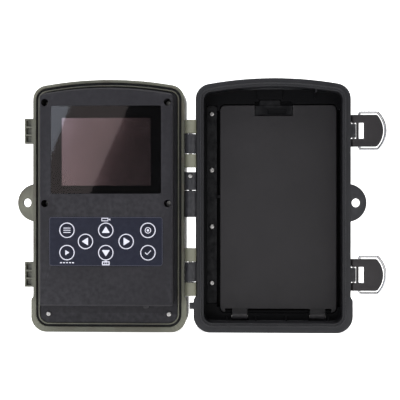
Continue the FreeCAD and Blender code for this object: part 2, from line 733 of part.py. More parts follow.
def rear_shell():
    add = [case_body(REAR_X, REAR_DEPTH, REAR_GROW, REAR_EDGE_R)]
    add.append(ear(rear_side, REAR_GROW))
    for z in (HINGE_UPPER_Z, HINGE_LOWER_Z):
        middle, outer = knuckle_spans(z)
        add.append(knuckle(rear_side, REAR_WALL_U, middle[0], middle[1]))
    add.append(rear_duct())
    for name, z in LATCH_ZS:
        add += catch_lug(z)
    body = fuse(add)

    take = [half_prism(REAR_X, -1, DECK_D, RIM_W)]
    take.append(door_pocket())
    take += door_grooves()
    take.append(cell_bay())
    take += strip_recess()
    take += door_lug_pockets()
    for z in (HINGE_UPPER_Z, HINGE_LOWER_Z):
        middle, outer = knuckle_spans(z)
        take.append(rod_z(HINGE_X, RIM_Y, middle[0] - 1, middle[1] + 1, PIN_R))
        for span in outer:
            take.append(barrel_relief(span[0], span[1]))
    take.append(barrel_relief(DUCT_JOIN_Z, DUCT_CAP_TOP))
    take += lead_room(-1, rear_side, LEAD_REAR_D, DOOR_U0 + 2)
    take.append(hinge_bumper())
    for name, z in LATCH_ZS:
        take.append(rod_z(LATCH_X, LATCH_Y, z - LUG_HALF - 1, z + LUG_HALF + 1, LATCH_PIN_R))
    take.append(rod_z(0, 0, -1, INSERT_LEN, INSERT_R))
    take.append(rod_z(JACK_X, 0, -1, PLUG_RECESS + PLUG_HEAD_T + PLUG_PLAY, PLUG_HEAD_R + PLUG_PLAY))
    take.append(rod_z(JACK_X, 0, -1, JACK_TOP - 1, JACK_BORE_R + 0.3))
    take.append(jack_block())
    for x, z in bracket_screw_places():
        take.append(rod_y(x, z, RIM_Y + BACK_D + 0.5, RIM_Y + REAR_DEPTH + 1, SCREW_SHANK_R))
    nose_top = DOOR_Z1 + NOSE_UP + TAB_TRAVEL + 0.8
    tab_top = DOOR_Z1 + TAB_TRAVEL + DOOR_GAP
    low, deep = DOOR_Z1 - NOTCH_H - 1, NOSE_D1 + 0.6
    nose_u, nose_half = LATCH_TAB_U + NOSE_SHIFT, NOSE_W / 2 + TAB_PLAY
    for u, half, top in ((nose_u, nose_half, nose_top), (LATCH_TAB_U, TAB_W / 2, tab_top)):
        take.append(u_box(rear_side, u - half, u + half, DECK_D - 1, deep, low, top))
    body = cut(body, take)

    tongue_in = GROOVE_IN + (GROOVE_W - TONGUE_W) / 2
    late = [seal_ring(REAR_X, -TONGUE_H, 0.3, tongue_in, TONGUE_W)]
    late += strip_posts()
    block_z0 = DOOR_Z1 + NOSE_UP + DOOR_GAP
    ceiling = half_prism(REAR_X, CATCH_BLOCK_FRONT, CATCH_BLOCK_BACK, RIM_W - 0.5)
    block = u_box(
        rear_side, CATCH_BLOCK_U[0], CATCH_BLOCK_U[1], CATCH_BLOCK_FRONT, CATCH_BLOCK_BACK, block_z0, CASE_H
    )
    late.append(block.common(ceiling))
    top_u = TOP_RIB_U
    rib = u_box(rear_side, top_u - RIB_HALF, top_u + RIB_HALF, TOP_RIB_D, DECK_D + 0.3, block_z0 + 1, CASE_H)
    rib = rib.common(half_prism(REAR_X, TOP_RIB_D, DECK_D + 0.3, RIM_W - 0.5))
    near, free = BLOCK_INSET - BLOCK_ROOM, BLOCK_Z0 - BLOCK_ROOM
    late.append(rib.cut(half_prism(REAR_X, -1, BLOCK_H + BLOCK_ROOM, near, free, 0.0, LEAST_CORNER_R)))
    for u in LOW_RIB_US:
        z0, z1 = CAVITY_FLOOR - 0.3, CAVITY_FLOOR + LOW_RIB_H
        late.append(u_box(rear_side, u - RIB_HALF, u + RIB_HALF, LOW_RIB_D, DECK_D + 0.2, z0, z1))
    return fuse([body] + late)


def battery_tray():
    x0, x1 = DOOR_CX - TRAY_W / 2, DOOR_CX + TRAY_W / 2
    outer = box(x0, x1, RIM_Y + TRAY_D0, RIM_Y + BACK_D, TRAY_Z0, TRAY_Z0 + TRAY_H)
    rooms = []
    for row in range(CELL_ROWS):
        z0 = row_floor(row)
        y0, y1 = RIM_Y + TRAY_D0 - 1, RIM_Y + BACK_D - TRAY_FLOOR
        rooms.append(box(x0 + TRAY_WALL, x1 - TRAY_WALL, y0, y1, z0, z0 + ROW_LEN))
    tray = outer.cut(rooms)
    ribs = []
    for row in range(CELL_ROWS):
        z0 = row_floor(row)
        for i in range(1, CELL_COLUMNS):
            x = x0 + TRAY_WALL + TRAY_RIB / 2 + i * CELL_PITCH
            y0, y1 = RIM_Y + CELL_D + 2.0, RIM_Y + BACK_D - TRAY_FLOOR
            ribs.append(box(x - TRAY_RIB / 2, x + TRAY_RIB / 2, y0, y1 + 0.3, z0, z0 + ROW_LEN))
    return fuse([tray] + ribs)


def row_floor(row):
    return TRAY_Z0 + TRAY_WALL + row * (ROW_LEN + TRAY_WALL)


def cell_x(column):
    return DOOR_CX + (column - (CELL_COLUMNS - 1) / 2) * CELL_PITCH


def cell_places():
    """Each cell's x, the height of its row's floor, and whether its spring is below it."""
    places = []
    for row in range(CELL_ROWS):
        for column in range(CELL_COLUMNS):
            places.append((cell_x(column), row_floor(row), (row + column) % 2 == 0))
    return places


def aa_cells():
    cells = []
    y = RIM_Y + CELL_D
    for x, z0, spring_low in cell_places():
        if spring_low:
            base = z0 + SPRING_LEN
            can = rod_z(x, y, base, base + CELL_BODY, CELL_R)
            nub = rod_z(x, y, base + CELL_BODY, base + CELL_BODY + CELL_NUB, CELL_NUB_R)
        else:
            base = z0 + PLATE_T + CELL_NUB
            can = rod_z(x, y, base, base + CELL_BODY, CELL_R)
            nub = rod_z(x, y, base - CELL_NUB, base, CELL_NUB_R)
        ends = [e for e in can.Edges if e.BoundBox.ZLength < 1e-6]
        cells.append(can.makeFillet(0.6, ends).fuse(nub))
    return Part.makeCompound(cells)


def contact_spring(x, y, z):
    """A contact spring drawn as level rings, joined by links on alternate sides."""
    step = (SPRING_LEN - 2 * SPRING_WIRE) / (SPRING_RINGS - 1)
    first = z + SPRING_WIRE
    parts = []
    for i in range(SPRING_RINGS):
        level = first + i * step
        parts.append(Part.makeTorus(SPRING_R, SPRING_WIRE, Vector(x, y, level)))
        if i:
            way = 1 if i % 2 else -1
            parts.append(rod_z(x + way * SPRING_R, y, level - step, level, SPRING_LINK_R))
    return fuse(parts)


def contact_springs():
    springs = []
    for x, z0, spring_low in cell_places():
        base = z0 if spring_low else z0 + ROW_LEN - SPRING_LEN
        springs.append(contact_spring(x, RIM_Y + CELL_D, base))
    return Part.makeCompound(springs)


def contact_plates():
    plates = []
    half = PLATE_W / 2
    y = RIM_Y + CELL_D
    for x, z0, spring_low in cell_places():
        base = z0 + ROW_LEN - PLATE_T if spring_low else z0
        plates.append(box(x - half, x + half, y - half, y + half, base, base + PLATE_T))
    return Part.makeCompound(plates)


def battery_door():
    """The door, with corner feet, hinge lugs, a notch and a pocket for its latch tab, and a finger slot."""
    y0, y1 = RIM_Y + DECK_D, RIM_Y + DECK_D + DOOR_T
    cx, cz = DOOR_CX, (DOOR_Z0 + DOOR_Z1) / 2
    plate = slab(cx, cz, DOOR_U1 - DOOR_U0, DOOR_Z1 - DOOR_Z0, DOOR_R, y0, y1)
    plate = plate.makeFillet(0.4, edges_at(plate, y0))
    take = []
    foot_u0, foot_u1 = DOOR_U0 + DOOR_FOOT_W, DOOR_U1 - DOOR_FOOT_W
    take.append(u_box(rear_side, foot_u0, foot_u1, DECK_D - 1, 30, DOOR_Z0 - 1, DOOR_Z0 + DOOR_FOOT_UP))
    tab_x = rear_side(LATCH_TAB_U)
    half = TAB_W / 2 + TAB_PLAY
    notch_z = DOOR_Z1 - NOTCH_H
    take.append(box(tab_x - half, tab_x + half, y0 - 1, y1 + 1, notch_z, DOOR_Z1 + 1))
    plate = cut(plate, take)
    add = []
    for u in DOOR_LUG_US:
        x0, x1 = rear_side(u - DOOR_LUG_W / 2), rear_side(u + DOOR_LUG_W / 2)
        add.append(rod_x(RIM_Y + DOOR_PIVOT_D, DOOR_PIVOT_Z, x0, x1, DOOR_LUG_R))
        add.append(box(x0, x1, y0 + 1.0, y1, DOOR_PIVOT_Z, DOOR_Z0 + DOOR_FOOT_UP + 2))
    door = fuse([plate] + add)
    bore = DOOR_PIN_R + PIN_PLAY
    x0, x1 = rear_side(DOOR_U0), rear_side(DOOR_U1)
    return cut(door, [rod_x(RIM_Y + DOOR_PIVOT_D, DOOR_PIVOT_Z, x0, x1, bore)])


def door_pins():
    pins = []
    for u in DOOR_LUG_US:
        x = rear_side(u)
        pins.append(
            rod_x(RIM_Y + DOOR_PIVOT_D, DOOR_PIVOT_Z, x - DOOR_PIN_LEN / 2, x + DOOR_PIN_LEN / 2, DOOR_PIN_R)
        )
    return Part.makeCompound(pins)


def door_latch():
    """The sliding tab in the door's notch. Slid up, its nose goes behind the catch block."""
    x = rear_side(LATCH_TAB_U)
    y0 = RIM_Y + DECK_D + TAB_SINK
    z0 = DOOR_Z1 - NOTCH_H + TAB_PLAY
    z1 = DOOR_Z1 - 0.3
    half = TAB_W / 2
    flange_y = RIM_Y + TAB_FLANGE_D
    plate = box(x - half, x + half, y0, y0 + TAB_T, z0, z1)
    nose_x = rear_side(LATCH_TAB_U + NOSE_SHIFT)
    nose_x0, nose_x1 = nose_x - NOSE_W / 2, nose_x + NOSE_W / 2
    heel = box(nose_x0, nose_x1, y0 + TAB_T - 0.3, flange_y + TAB_FLANGE_T, z0, z1)
    flange_half = half + TAB_FLANGE
    flange_z1 = DOOR_Z1 - DOOR_REST - TAB_TRAVEL - DOOR_GAP
    flange_y1 = flange_y + TAB_FLANGE_T
    flange = box(x - flange_half, x + flange_half, flange_y, flange_y1, z0 - TAB_FLANGE, flange_z1)
    nose = box(nose_x0, nose_x1, RIM_Y + NOSE_D0, RIM_Y + NOSE_D1, z0 + 1, DOOR_Z1 + NOSE_UP)
    tab = fuse([plate, heel, flange, nose])
    slot_z = z0 + 0.8
    finger_x = rear_side(LATCH_TAB_U + FINGER_SHIFT)
    finger_x0, finger_x1 = finger_x - FINGER_W / 2, finger_x + FINGER_W / 2
    finger = box(finger_x0, finger_x1, y0 - 1, y0 + 0.8, slot_z, slot_z + FINGER_H)
    return cut(tab, [finger])


def wiring_cover():
    u0, u1, z0, z1 = strip_bounds()
    cx = rear_side((u0 + u1) / 2)
    y0 = RIM_Y + DECK_D
    strip = slab(cx, (z0 + z1) / 2, u1 - u0, z1 - z0, 1.5, y0, y0 + STRIP_T)
    holes = []
    for x, z in strip_screw_places():
        holes.append(rod_y(x, z, y0 - 1, y0 + 3, SCREW_SHANK_R + 0.2))
    return cut(strip, holes)


def wiring_cover_screws():
    return Part.makeCompound([pan_screw(x, z, DECK_D, 5.0, SMALL_HEAD_R) for x, z in strip_screw_places()])


def tripod_insert():
    """Brass bush with a 1/4-inch bore, blind, and grooves that grip the moulding."""
    bush = rod_z(0, 0, 0, INSERT_LEN, INSERT_R)
    grooves = []
    for z in (2.4, 5.8):
        ring = rod_z(0, 0, z, z + 0.9, INSERT_R + 1)
        grooves.append(ring.cut(rod_z(0, 0, z - 1, z + 2, INSERT_R - 0.5)))
    grooves.append(rod_z(0, 0, -1, TRIPOD_DEEP, TRIPOD_R))
    return cut(bush, grooves)


def jack_block():
    z0 = PLUG_RECESS + PLUG_HEAD_T + PLUG_PLAY + JACK_SILL
    half_w, half_d = JACK_W / 2, JACK_DEEP / 2
    return box(JACK_X - half_w, JACK_X + half_w, -half_d, half_d, z0, JACK_TOP)


def dc_jack():
    body = jack_block()
    z0 = body.BoundBox.ZMin
    bore = rod_z(JACK_X, 0, z0 - 1, JACK_TOP - 1.5, JACK_BORE_R)
    pin = rod_z(JACK_X, 0, z0 + 0.5, JACK_TOP - 1, JACK_PIN_R)
    return fuse([cut(body, [bore]), pin])


def dc_plug():
    """Rubber stopper with a hollow stem and a finger lip."""
    head = rod_z(JACK_X, 0, PLUG_RECESS, PLUG_RECESS + PLUG_HEAD_T, PLUG_HEAD_R)
    head = head.makeFillet(0.5, [e for e in head.Edges if abs(e.BoundBox.ZMax - PLUG_RECESS) < 1e-4])
    top = PLUG_RECESS + PLUG_HEAD_T
    stem = rod_z(JACK_X, 0, top - 0.5, top + PLUG_STEM, JACK_BORE_R - PLUG_PLAY)
    core = rod_z(JACK_X, 0, top - 0.2, top + PLUG_STEM + 1, JACK_PIN_R + PLUG_PLAY)
    return cut(fuse([head, stem]), [core])


def bracket_screw_places():
    places = []
    for x in (-BRACKET_SCREW_X, BRACKET_SCREW_X):
        for z in (BRACKET_Z - BRACKET_SCREW_Z, BRACKET_Z + BRACKET_SCREW_Z):
            places.append((x, z))
    return places


def tree_bracket():
    """Back plate with two toothed cheeks, each with a window for a strap."""
    y0 = RIM_Y + REAR_DEPTH
    y1 = y0 + BRACKET_T
    y2 = y1 + STRAP_GAP + CHEEK_BAR
    add = [slab(0, BRACKET_Z, BRACKET_W, BRACKET_H, 4.0, y0, y1)]
    take = []
    for way in (-1, 1):
        xs = sorted((way * BRACKET_W / 2, way * (BRACKET_W / 2 - CHEEK_T)))
        z0, z1 = BRACKET_Z - BRACKET_H / 2 + 4, BRACKET_Z + BRACKET_H / 2 - 4
        cheek = box(xs[0], xs[1], y1 - 0.5, y2, z0, z1)
        slot = box(xs[0] - 1, xs[1] + 1, y1, y1 + STRAP_GAP, BRACKET_Z - STRAP_W / 2, BRACKET_Z + STRAP_W / 2)
        add.append(cheek)
        take.append(slot)
        for end in (-1, 1):
            for i in range(TEETH):
                z = BRACKET_Z + end * (z1 - BRACKET_Z - 3.0 - i * 2.4 * TOOTH)
                tri = Part.makePolygon(
                    [
                        Vector(xs[0] - 1, y2 + 0.01, z - TOOTH),
                        Vector(xs[0] - 1, y2 - TOOTH, z),
                        Vector(xs[0] - 1, y2 + 0.01, z + TOOTH),
                        Vector(xs[0] - 1, y2 + 0.01, z - TOOTH),
                    ]
                )
                take.append(Part.Face(tri).extrude(Vector(CHEEK_T + 2, 0, 0)))
    for x, z in bracket_screw_places():
        take.append(rod_y(x, z, y0 - 1, y1 + 1, SCREW_SHANK_R + 0.2))
    return cut(fuse(add), take)


def bracket_screws():
    """Screws driven into the back, heads on the bracket plate."""
    screws = []
    for x, z in bracket_screw_places():
        screw = pan_screw(x, z, 0, 4.5)
        screw.rotate(Vector(x, RIM_Y, z), Vector(0, 0, 1), 180)
        screw.translate(Vector(0, REAR_DEPTH + BRACKET_T, 0))
        screws.append(screw)
    return Part.makeCompound(screws)


def latch_pins():
    pins = []
    for name, z in LATCH_ZS:
        pins.append(rod_z(LATCH_X, LATCH_Y, z - LEVER_HALF, z + LEVER_HALF, LATCH_PIN_R))
    return Part.makeCompound(pins)


def bow_centre_x():
    """Centre of the bail's bow when the lever lies open."""
    return LATCH_X + BAIL_OFF + BAIL_TIP - BAIL_BOW_R


def latch_lever(z):
    """A forked lever with a window, arms round the pin, and a bowed finger edge."""
    y0, y1 = LATCH_Y - LEVER_T_FRONT, LATCH_Y + LEVER_T_BACK
    tip_r = BAIL_BOW_R - BAIL_WIRE_R - LEVER_TIP_GAP
    far = LATCH_X + BAIL_OFF + BAIL_TIP
    plate = box(LATCH_X, far, y0, y1, z - LEVER_HALF, z + LEVER_HALF)
    plate = plate.common(rod_y(bow_centre_x(), z, y0 - 1, y1 + 1, tip_r))
    tips = []
    for e in plate.Edges:
        b = e.BoundBox
        if b.YLength > (y1 - y0) / 2 and b.XMin > LATCH_X + 5:
            tips.append(e)
    plate = plate.makeFillet(1.6, tips)
    plate = plate.makeFillet(0.35, edges_at(plate, y0))
    fork_x = LATCH_X + LEVER_FORK_DEEP
    window_x = fork_x + LEVER_BAR
    z0, z1 = z - LEVER_FORK, z + LEVER_FORK
    take = [
        box(LATCH_X - 5, fork_x, y0 - 1, y1 + 1, z0, z1),
        box(window_x, window_x + LEVER_WINDOW, y0 - 1, y1 + 1, z0, z1),
    ]
    lever = cut(plate, take)
    arms = [
        rod_z(LATCH_X, LATCH_Y, z - LEVER_HALF, z - LEVER_FORK, LEVER_T_FRONT),
        rod_z(LATCH_X, LATCH_Y, z + LEVER_FORK, z + LEVER_HALF, LEVER_T_FRONT),
    ]
    lever = fuse([lever] + arms)
    pin = rod_z(LATCH_X, LATCH_Y, z - 20, z + 20, LATCH_PIN_R + PIN_PLAY)
    holes = [
        rod_z(LATCH_X + BAIL_OFF, LATCH_Y, z + LEVER_FORK - 1, z + 20, BAIL_WIRE_R + BAIL_PLAY),
        rod_z(LATCH_X + BAIL_OFF, LATCH_Y, z - 20, z - LEVER_FORK + 1, BAIL_WIRE_R + BAIL_PLAY),
    ]
    return cut(lever, [pin] + holes)


def bail(z):
    """A sprung wire loop: ends in the lever's arms, two legs, and a bow."""
    x0 = LATCH_X + BAIL_OFF
    turn = 1.2
    bow_x = bow_centre_x()
    corner_x = bow_x + math.sqrt((BAIL_BOW_R - BAIL_CORNER_R) ** 2 - (BAIL_HALF - BAIL_CORNER_R) ** 2)
    corner_z = BAIL_HALF - BAIL_CORNER_R
    lean = math.atan2(corner_z, corner_x - bow_x)
    swing = (math.pi / 2 + lean) / 2
    diagonal = turn * (1 - math.sqrt(0.5))

    def at(x, dz):
        return Vector(x, LATCH_Y, z + dz)

    def half(way):
        join = at(bow_x + BAIL_BOW_R * math.cos(lean), way * BAIL_BOW_R * math.sin(lean))
        middle = at(
            corner_x + BAIL_CORNER_R * math.cos(swing), way * (corner_z + BAIL_CORNER_R * math.sin(swing))
        )
        edges = [
            line(at(x0, way * BAIL_END), at(x0, way * (BAIL_HALF - turn))),
            arc(
                at(x0, way * (BAIL_HALF - turn)),
                at(x0 + diagonal, way * (BAIL_HALF - diagonal)),
                at(x0 + turn, way * BAIL_HALF),
            ),
            line(at(x0 + turn, way * BAIL_HALF), at(corner_x, way * BAIL_HALF)),
            arc(at(corner_x, way * BAIL_HALF), middle, join),
        ]
        return edges, join

    upper, upper_join = half(1)
    lower, lower_join = half(-1)
    bow = arc(upper_join, at(bow_x + BAIL_BOW_R, 0), lower_join)
    path = Part.__sortEdges__(upper + [bow] + lower)
    return sweep(path, at(x0, BAIL_END), Vector(0, 0, 1), BAIL_WIRE_R)


# ---- front half ----
def catch(z):
    """The catch that a bail hooks behind: a curved back, and three pockets between ribs."""
    wall_u = HINGE_GAP + CASE_W
    closed_bow_d = LATCH_D + BAIL_OFF + BAIL_BOW_R - BAIL_TIP  # behind the rim plane
    back_r = BAIL_BOW_R - BAIL_WIRE_R - CATCH_GAP
    block = u_box(front_side, wall_u - 1, wall_u + CATCH_OUT, 0.4, 12, z - CATCH_HALF, z + CATCH_HALF)
    x0, x1 = sorted((front_side(wall_u - 1), front_side(wall_u + CATCH_OUT)))
    round_back = rod_x(RIM_Y - closed_bow_d, z, x0 - 1, x1 + 1, back_r)
    block = block.common(round_back)
    pockets = []
    rim = CATCH_RIM
    half = (CATCH_PITCH - rim) / 2
    for i in (-1, 0, 1):
        zc = z + i * CATCH_PITCH
        u0, u1 = wall_u + rim, wall_u + CATCH_OUT - rim
        pockets.append(u_box(front_side, u0, u1, -1, CATCH_DEEP, zc - half, zc + half))
    return cut(block, pockets)


def cover_screw_places():
    places = []
    for way in (-1, 1):
        for drop in COVER_SCREW_DROPS:
            places.append((FRONT_X + way * SCREW_X, CASE_H - drop))
    return places


def flange_screw_places():
    return [(FRONT_X + way * SCREW_X, FLANGE_SCREW_Z) for way in (-1, 1)]


def face_openings():
    """The openings through the camera face, each with a ledge for what sits in it."""
    y0, y1 = RIM_Y + FACE_IN_D - 1, RIM_Y + FRONT_DEPTH + 1
    ir = slab(FRONT_X, IR_Z, IR_W - 2 * FACE_LEDGE, IR_H - 2 * FACE_LEDGE, 2.0, y0, y1)
    lens = rod_y(FRONT_X, LENS_Z, y0, y1, LENS_R + LENS_PLAY)
    pir = slab(FRONT_X, PIR_Z, PIR_W - 2 * FACE_LEDGE, PIR_H - 2 * FACE_LEDGE, 2.0, y0, y1)
    return [ir, lens, pir]


def front_shell():
    add = [case_body(FRONT_X, FRONT_DEPTH, 0.0, FRONT_EDGE_R)]
    add.append(ear(front_side, 0.0))
    for z in (HINGE_UPPER_Z, HINGE_LOWER_Z):
        middle, outer = knuckle_spans(z)
        for span in outer:
            add.append(knuckle(front_side, HINGE_GAP, span[0], span[1]))
    screw_z = DUCT_JOIN_Z + DUCT_SCREW_UP
    add.append(u_box(front_side, -1.8, HINGE_GAP + 1, BARREL_R, 9.0, screw_z - 2.2, screw_z + 2.2))
    for name, z in LATCH_ZS:
        add.append(catch(z))
    body = fuse(add)

    flange_d = FLANGE_RECESS + FLANGE_T
    take = [half_prism(FRONT_X, -1, flange_d, RIM_W - FIT_GAP)]
    take.append(half_prism(FRONT_X, flange_d, LEDGE_D, RIM_W + LEDGE_W))
    take.append(case_hollow(FRONT_X, LEDGE_D, FRONT_DEPTH, FRONT_EDGE_R))
    take.append(seal_ring(FRONT_X, -1, GROOVE_D, GROOVE_IN, GROOVE_W))
    for z in (HINGE_UPPER_Z, HINGE_LOWER_Z):
        middle, outer = knuckle_spans(z)
        take.append(rod_z(HINGE_X, RIM_Y, outer[0][0] - 1, outer[1][1] + 1, PIN_R + PIN_PLAY))
        take.append(barrel_relief(middle[0], middle[1]))
    take.append(barrel_relief(DUCT_FOOT_Z, DUCT_JOIN_Z))
    take += lead_room(1, front_side, LEAD_FRONT_D, HINGE_GAP + RIM_W + LEDGE_W + 2)[2:]
    take.append(rod_y(HINGE_X, screw_z, RIM_Y, RIM_Y + 8.0, SCREW_SHANK_R))
    take += face_openings()
    fascia_y = RIM_Y + FRONT_DEPTH - FASCIA_SINK
    fascia_z = sum(FASCIA_Z) / 2
    fascia_w = FASCIA_W + 2 * FIT_GAP
    fascia_h = FASCIA_Z[1] - FASCIA_Z[0] + 2 * FIT_GAP
    take.append(slab(FRONT_X, fascia_z, fascia_w, fascia_h, FASCIA_R, fascia_y, fascia_y + 9))
    body = cut(body, take)

    late = []
    post_end = RIM_Y + FACE_IN_D + 0.5
    for x, z in cover_screw_places() + flange_screw_places():
        post = rod_y(x, z, RIM_Y + flange_d, post_end, BOSS_R)
        post = post.common(half_prism(FRONT_X, 0, FRONT_DEPTH, 1.0))
        late.append(post.cut(rod_y(x, z, RIM_Y, RIM_Y + flange_d + SCREW_LEN + 1, SCREW_SHANK_R)))
    for way in (-1, 1):
        for z in (IR_Z - IR_POST_Z, IR_Z + IR_POST_Z):
            x = FRONT_X + way * IR_POST_X
            late.append(rod_y(x, z, RIM_Y + IR_BOARD_D + BOARD_T, post_end, POST_R))
        x = FRONT_X + way * SENSOR_POST_X
        late.append(rod_y(x, SENSOR_POST_Z, RIM_Y + SENSOR_BOARD_D + BOARD_T, post_end, POST_R))
    return fuse([body] + late)


def gasket():
    return seal_ring(FRONT_X, GROOVE_D - GASKET_T, GROOVE_D, GROOVE_IN, GROOVE_W)


def key_places():
    """Each key's name, x and z."""
    x = FRONT_X
    return [
        ("menu", x - KEY_LEFT, PAD_Z + KEY_ROW),
        ("up", x, PAD_Z + KEY_ROW),
        ("shot", x + KEY_RIGHT, PAD_Z + KEY_ROW),
        ("left", x - KEY_SIDE, PAD_Z),
        ("right", x + KEY_SIDE, PAD_Z),
        ("replay", x - KEY_LEFT, PAD_Z - KEY_ROW),
        ("down", x, PAD_Z - KEY_ROW),
        ("ok", x + KEY_RIGHT, PAD_Z - KEY_ROW),
    ]


def block_prism(d0, d1, inset, floor):
    return half_prism(FRONT_X, d0, d1, inset, floor, 0.0, LEAST_CORNER_R)


def inner_cover():
    """The cover behind the display: a flange in the rim and a block that stands above it."""
    flange_d = FLANGE_RECESS + FLANGE_T
    flange = half_prism(FRONT_X, FLANGE_RECESS, flange_d, RIM_W)
    block = block_prism(-BLOCK_H, flange_d, BLOCK_INSET, BLOCK_Z0)
    block = block.makeChamfer(BLOCK_BEVEL, edges_at(block, RIM_Y - BLOCK_H))
    hollow = block_prism(BLOCK_IN_D, flange_d + 1, BLOCK_INSET + BLOCK_WALL, BLOCK_Z0 + BLOCK_WALL)
    body = cut(fuse([flange, block]), [hollow])

    y_face = RIM_Y - BLOCK_H
    y_in = RIM_Y + BLOCK_IN_D
    add = []
    for x, z in cover_screw_places():
        column = rod_y(x, z, y_in - 0.3, RIM_Y + flange_d, SCREW_TUBE_R)
        add.append(column)
    ribs_x = CASE_W / 2 - BLOCK_INSET - BLOCK_WALL
    for way in (-1, 1):
        xs = sorted((way * (MAIN_BOARD_W / 2 - 2.0), way * (ribs_x + 0.4)))
        for z in (MAIN_BOARD_Z[0], MAIN_BOARD_Z[1] - RIB_DROP):
            add.append(box(FRONT_X + xs[0], FRONT_X + xs[1], y_in - 0.3, RIM_Y + MAIN_BOARD_D, z, z + RIB_T))
        for z in (PAD_Z - KEY_POST_Z, PAD_Z + KEY_POST_Z):
            x = FRONT_X + way * KEY_POST_X
            add.append(rod_y(x, z, y_in - 0.3, RIM_Y + KEY_BOARD_D, POST_R))
    body = fuse([body] + add)

    take = []
    take.append(slab(FRONT_X, GLASS_Z, GLASS_W, GLASS_H, 1.0, y_face - 1, y_face + GLASS_T + PANE_GAP))
    take.append(slab(FRONT_X, LCD_Z, VIEW_W, VIEW_H, 1.0, y_face - 1, y_in + 1))
    pad_d = PAD_T - PAD_PROUD
    take.append(slab(FRONT_X, PAD_Z, PAD_W, PAD_H, PAD_CORNER_R, y_face - 1, y_face + pad_d))
    for name, x, z in key_places():
        take.append(rod_y(x, z, y_face - 1, y_in + 0.01, KEY_R + KEY_PLAY))
    for x, z in cover_screw_places():
        take.append(rod_y(x, z, y_face - 1, RIM_Y + SCREW_SEAT_D, SCREW_HOLE_R))
        take.append(rod_y(x, z, y_face - 1, RIM_Y + flange_d + 1, SCREW_SHANK_R + 0.2))
    for x, z in flange_screw_places():
        take.append(rod_y(x, z, y_face - 1, RIM_Y + flange_d + 1, SCREW_SHANK_R + 0.2))
    take += socket_openings()
    return cut(body, take)


def card_y():
    return RIM_Y + MAIN_BOARD_D - SLOT_WALL - CARD_T - 0.15


def socket_openings():
    """Openings in the block's underside for the card, the USB plug and the switch knob."""
    z0, z1 = BLOCK_Z0 - 1, BLOCK_Z0 + BLOCK_WALL + 0.2
    y = card_y()
    card = box(
        FRONT_X + CARD_X - CARD_W / 2 - 0.3,
        FRONT_X + CARD_X + CARD_W / 2 + 0.3,
        y - 0.3,
        y + CARD_T + 0.3,
        z0,
        z1,
    )
    usb = box(
        FRONT_X + USB_X - USB_W / 2 - 0.4,
        FRONT_X + USB_X + USB_W / 2 + 0.4,
        RIM_Y + MAIN_BOARD_D - USB_H - 0.3,
        RIM_Y + MAIN_BOARD_D + 0.1,
        z0,
        z1,
    )
    reach = KNOB_W / 2 + KNOB_TRAVEL + 0.3
    knob_y = RIM_Y + MAIN_BOARD_D - SWITCH_T / 2
    knob = box(
        FRONT_X + SWITCH_X - reach,
        FRONT_X + SWITCH_X + reach,
        knob_y - KNOB_T / 2 - 0.3,
        knob_y + KNOB_T / 2 + 0.3,
        z0,
        z1,
    )
    return [card, usb, knob]


def cover_screws():
    screws = [pan_screw(x, z, SCREW_SEAT_D, SCREW_LEN) for x, z in cover_screw_places()]
    screws += [pan_screw(x, z, FLANGE_RECESS, SCREW_LEN, SMALL_HEAD_R) for x, z in flange_screw_places()]
    return Part.makeCompound(screws)


def display_window():
    y0 = RIM_Y - BLOCK_H + PANE_GAP
    return slab(FRONT_X, GLASS_Z, GLASS_W - 0.2, GLASS_H - 0.2, 1.0, y0, y0 + GLASS_T)


def lcd_frame():
    y0 = RIM_Y + BLOCK_IN_D
    depth = LCD_T + FRAME_BACK
    outer = slab(
        FRONT_X, LCD_Z, LCD_W + 2 * FRAME_WALL + 0.4, LCD_H + 2 * FRAME_WALL + 0.4, 1.0, y0, y0 + depth
    )
    seat = slab(FRONT_X, LCD_Z, LCD_W + 0.4, LCD_H + 0.4, 0.5, y0 - 1, y0 + LCD_T)
    back = slab(FRONT_X, LCD_Z, LCD_W - 8, LCD_H - 8, 1.0, y0, y0 + depth + 1)
    return cut(outer, [seat, back])


def lcd_module():
    y0 = RIM_Y + BLOCK_IN_D
    return slab(FRONT_X, LCD_Z, LCD_W, LCD_H, 0.4, y0, y0 + LCD_T)


def keypad_overlay():
    y0 = RIM_Y - BLOCK_H - PAD_PROUD
    pad = slab(FRONT_X, PAD_Z, PAD_W - 0.1, PAD_H - 0.1, PAD_CORNER_R, y0, y0 + PAD_T)
    return cut(pad, [rod_y(x, z, y0 - 1, y0 + 2, KEY_R + KEY_PLAY) for name, x, z in key_places()])


def key(x, z):
    """A round key: a flush face, a flange behind the panel and a stem over its dome."""
    face = RIM_Y - BLOCK_H - PAD_PROUD - 0.05
    panel = RIM_Y + BLOCK_IN_D
    body = rod_y(x, z, face, panel + 0.3, KEY_R)
    body = body.makeFillet(0.12, edges_at(body, face))
    flange = rod_y(x, z, panel + 0.1, panel + 0.1 + KEY_FLANGE_T, KEY_FLANGE_R)
    stem_end = RIM_Y + KEY_BOARD_D - DOME_H - KEY_TRAVEL - 0.05
    stem = rod_y(x, z, panel, stem_end, KEY_STEM_R)
    return fuse([body, flange, stem])


def key_board():
    """Circuit board behind the keys, with a snap dome under each."""
    y0 = RIM_Y + KEY_BOARD_D
    board = slab(FRONT_X, PAD_Z, KEY_BOARD_W, KEY_BOARD_H, 1.0, y0, y0 + KEY_BOARD_T)
    domes = []
    for name, x, z in key_places():
        dome = rod_y(x, z, y0 - DOME_H, y0 + 0.1, DOME_R)
        domes.append(dome.makeFillet(DOME_H * 0.8, edges_at(dome, y0 - DOME_H)))
    return fuse([board] + domes)


def main_board():
    y0 = RIM_Y + MAIN_BOARD_D
    z0, z1 = MAIN_BOARD_Z
    return slab(FRONT_X, (z0 + z1) / 2, MAIN_BOARD_W, z1 - z0, 1.5, y0, y0 + MAIN_BOARD_T)


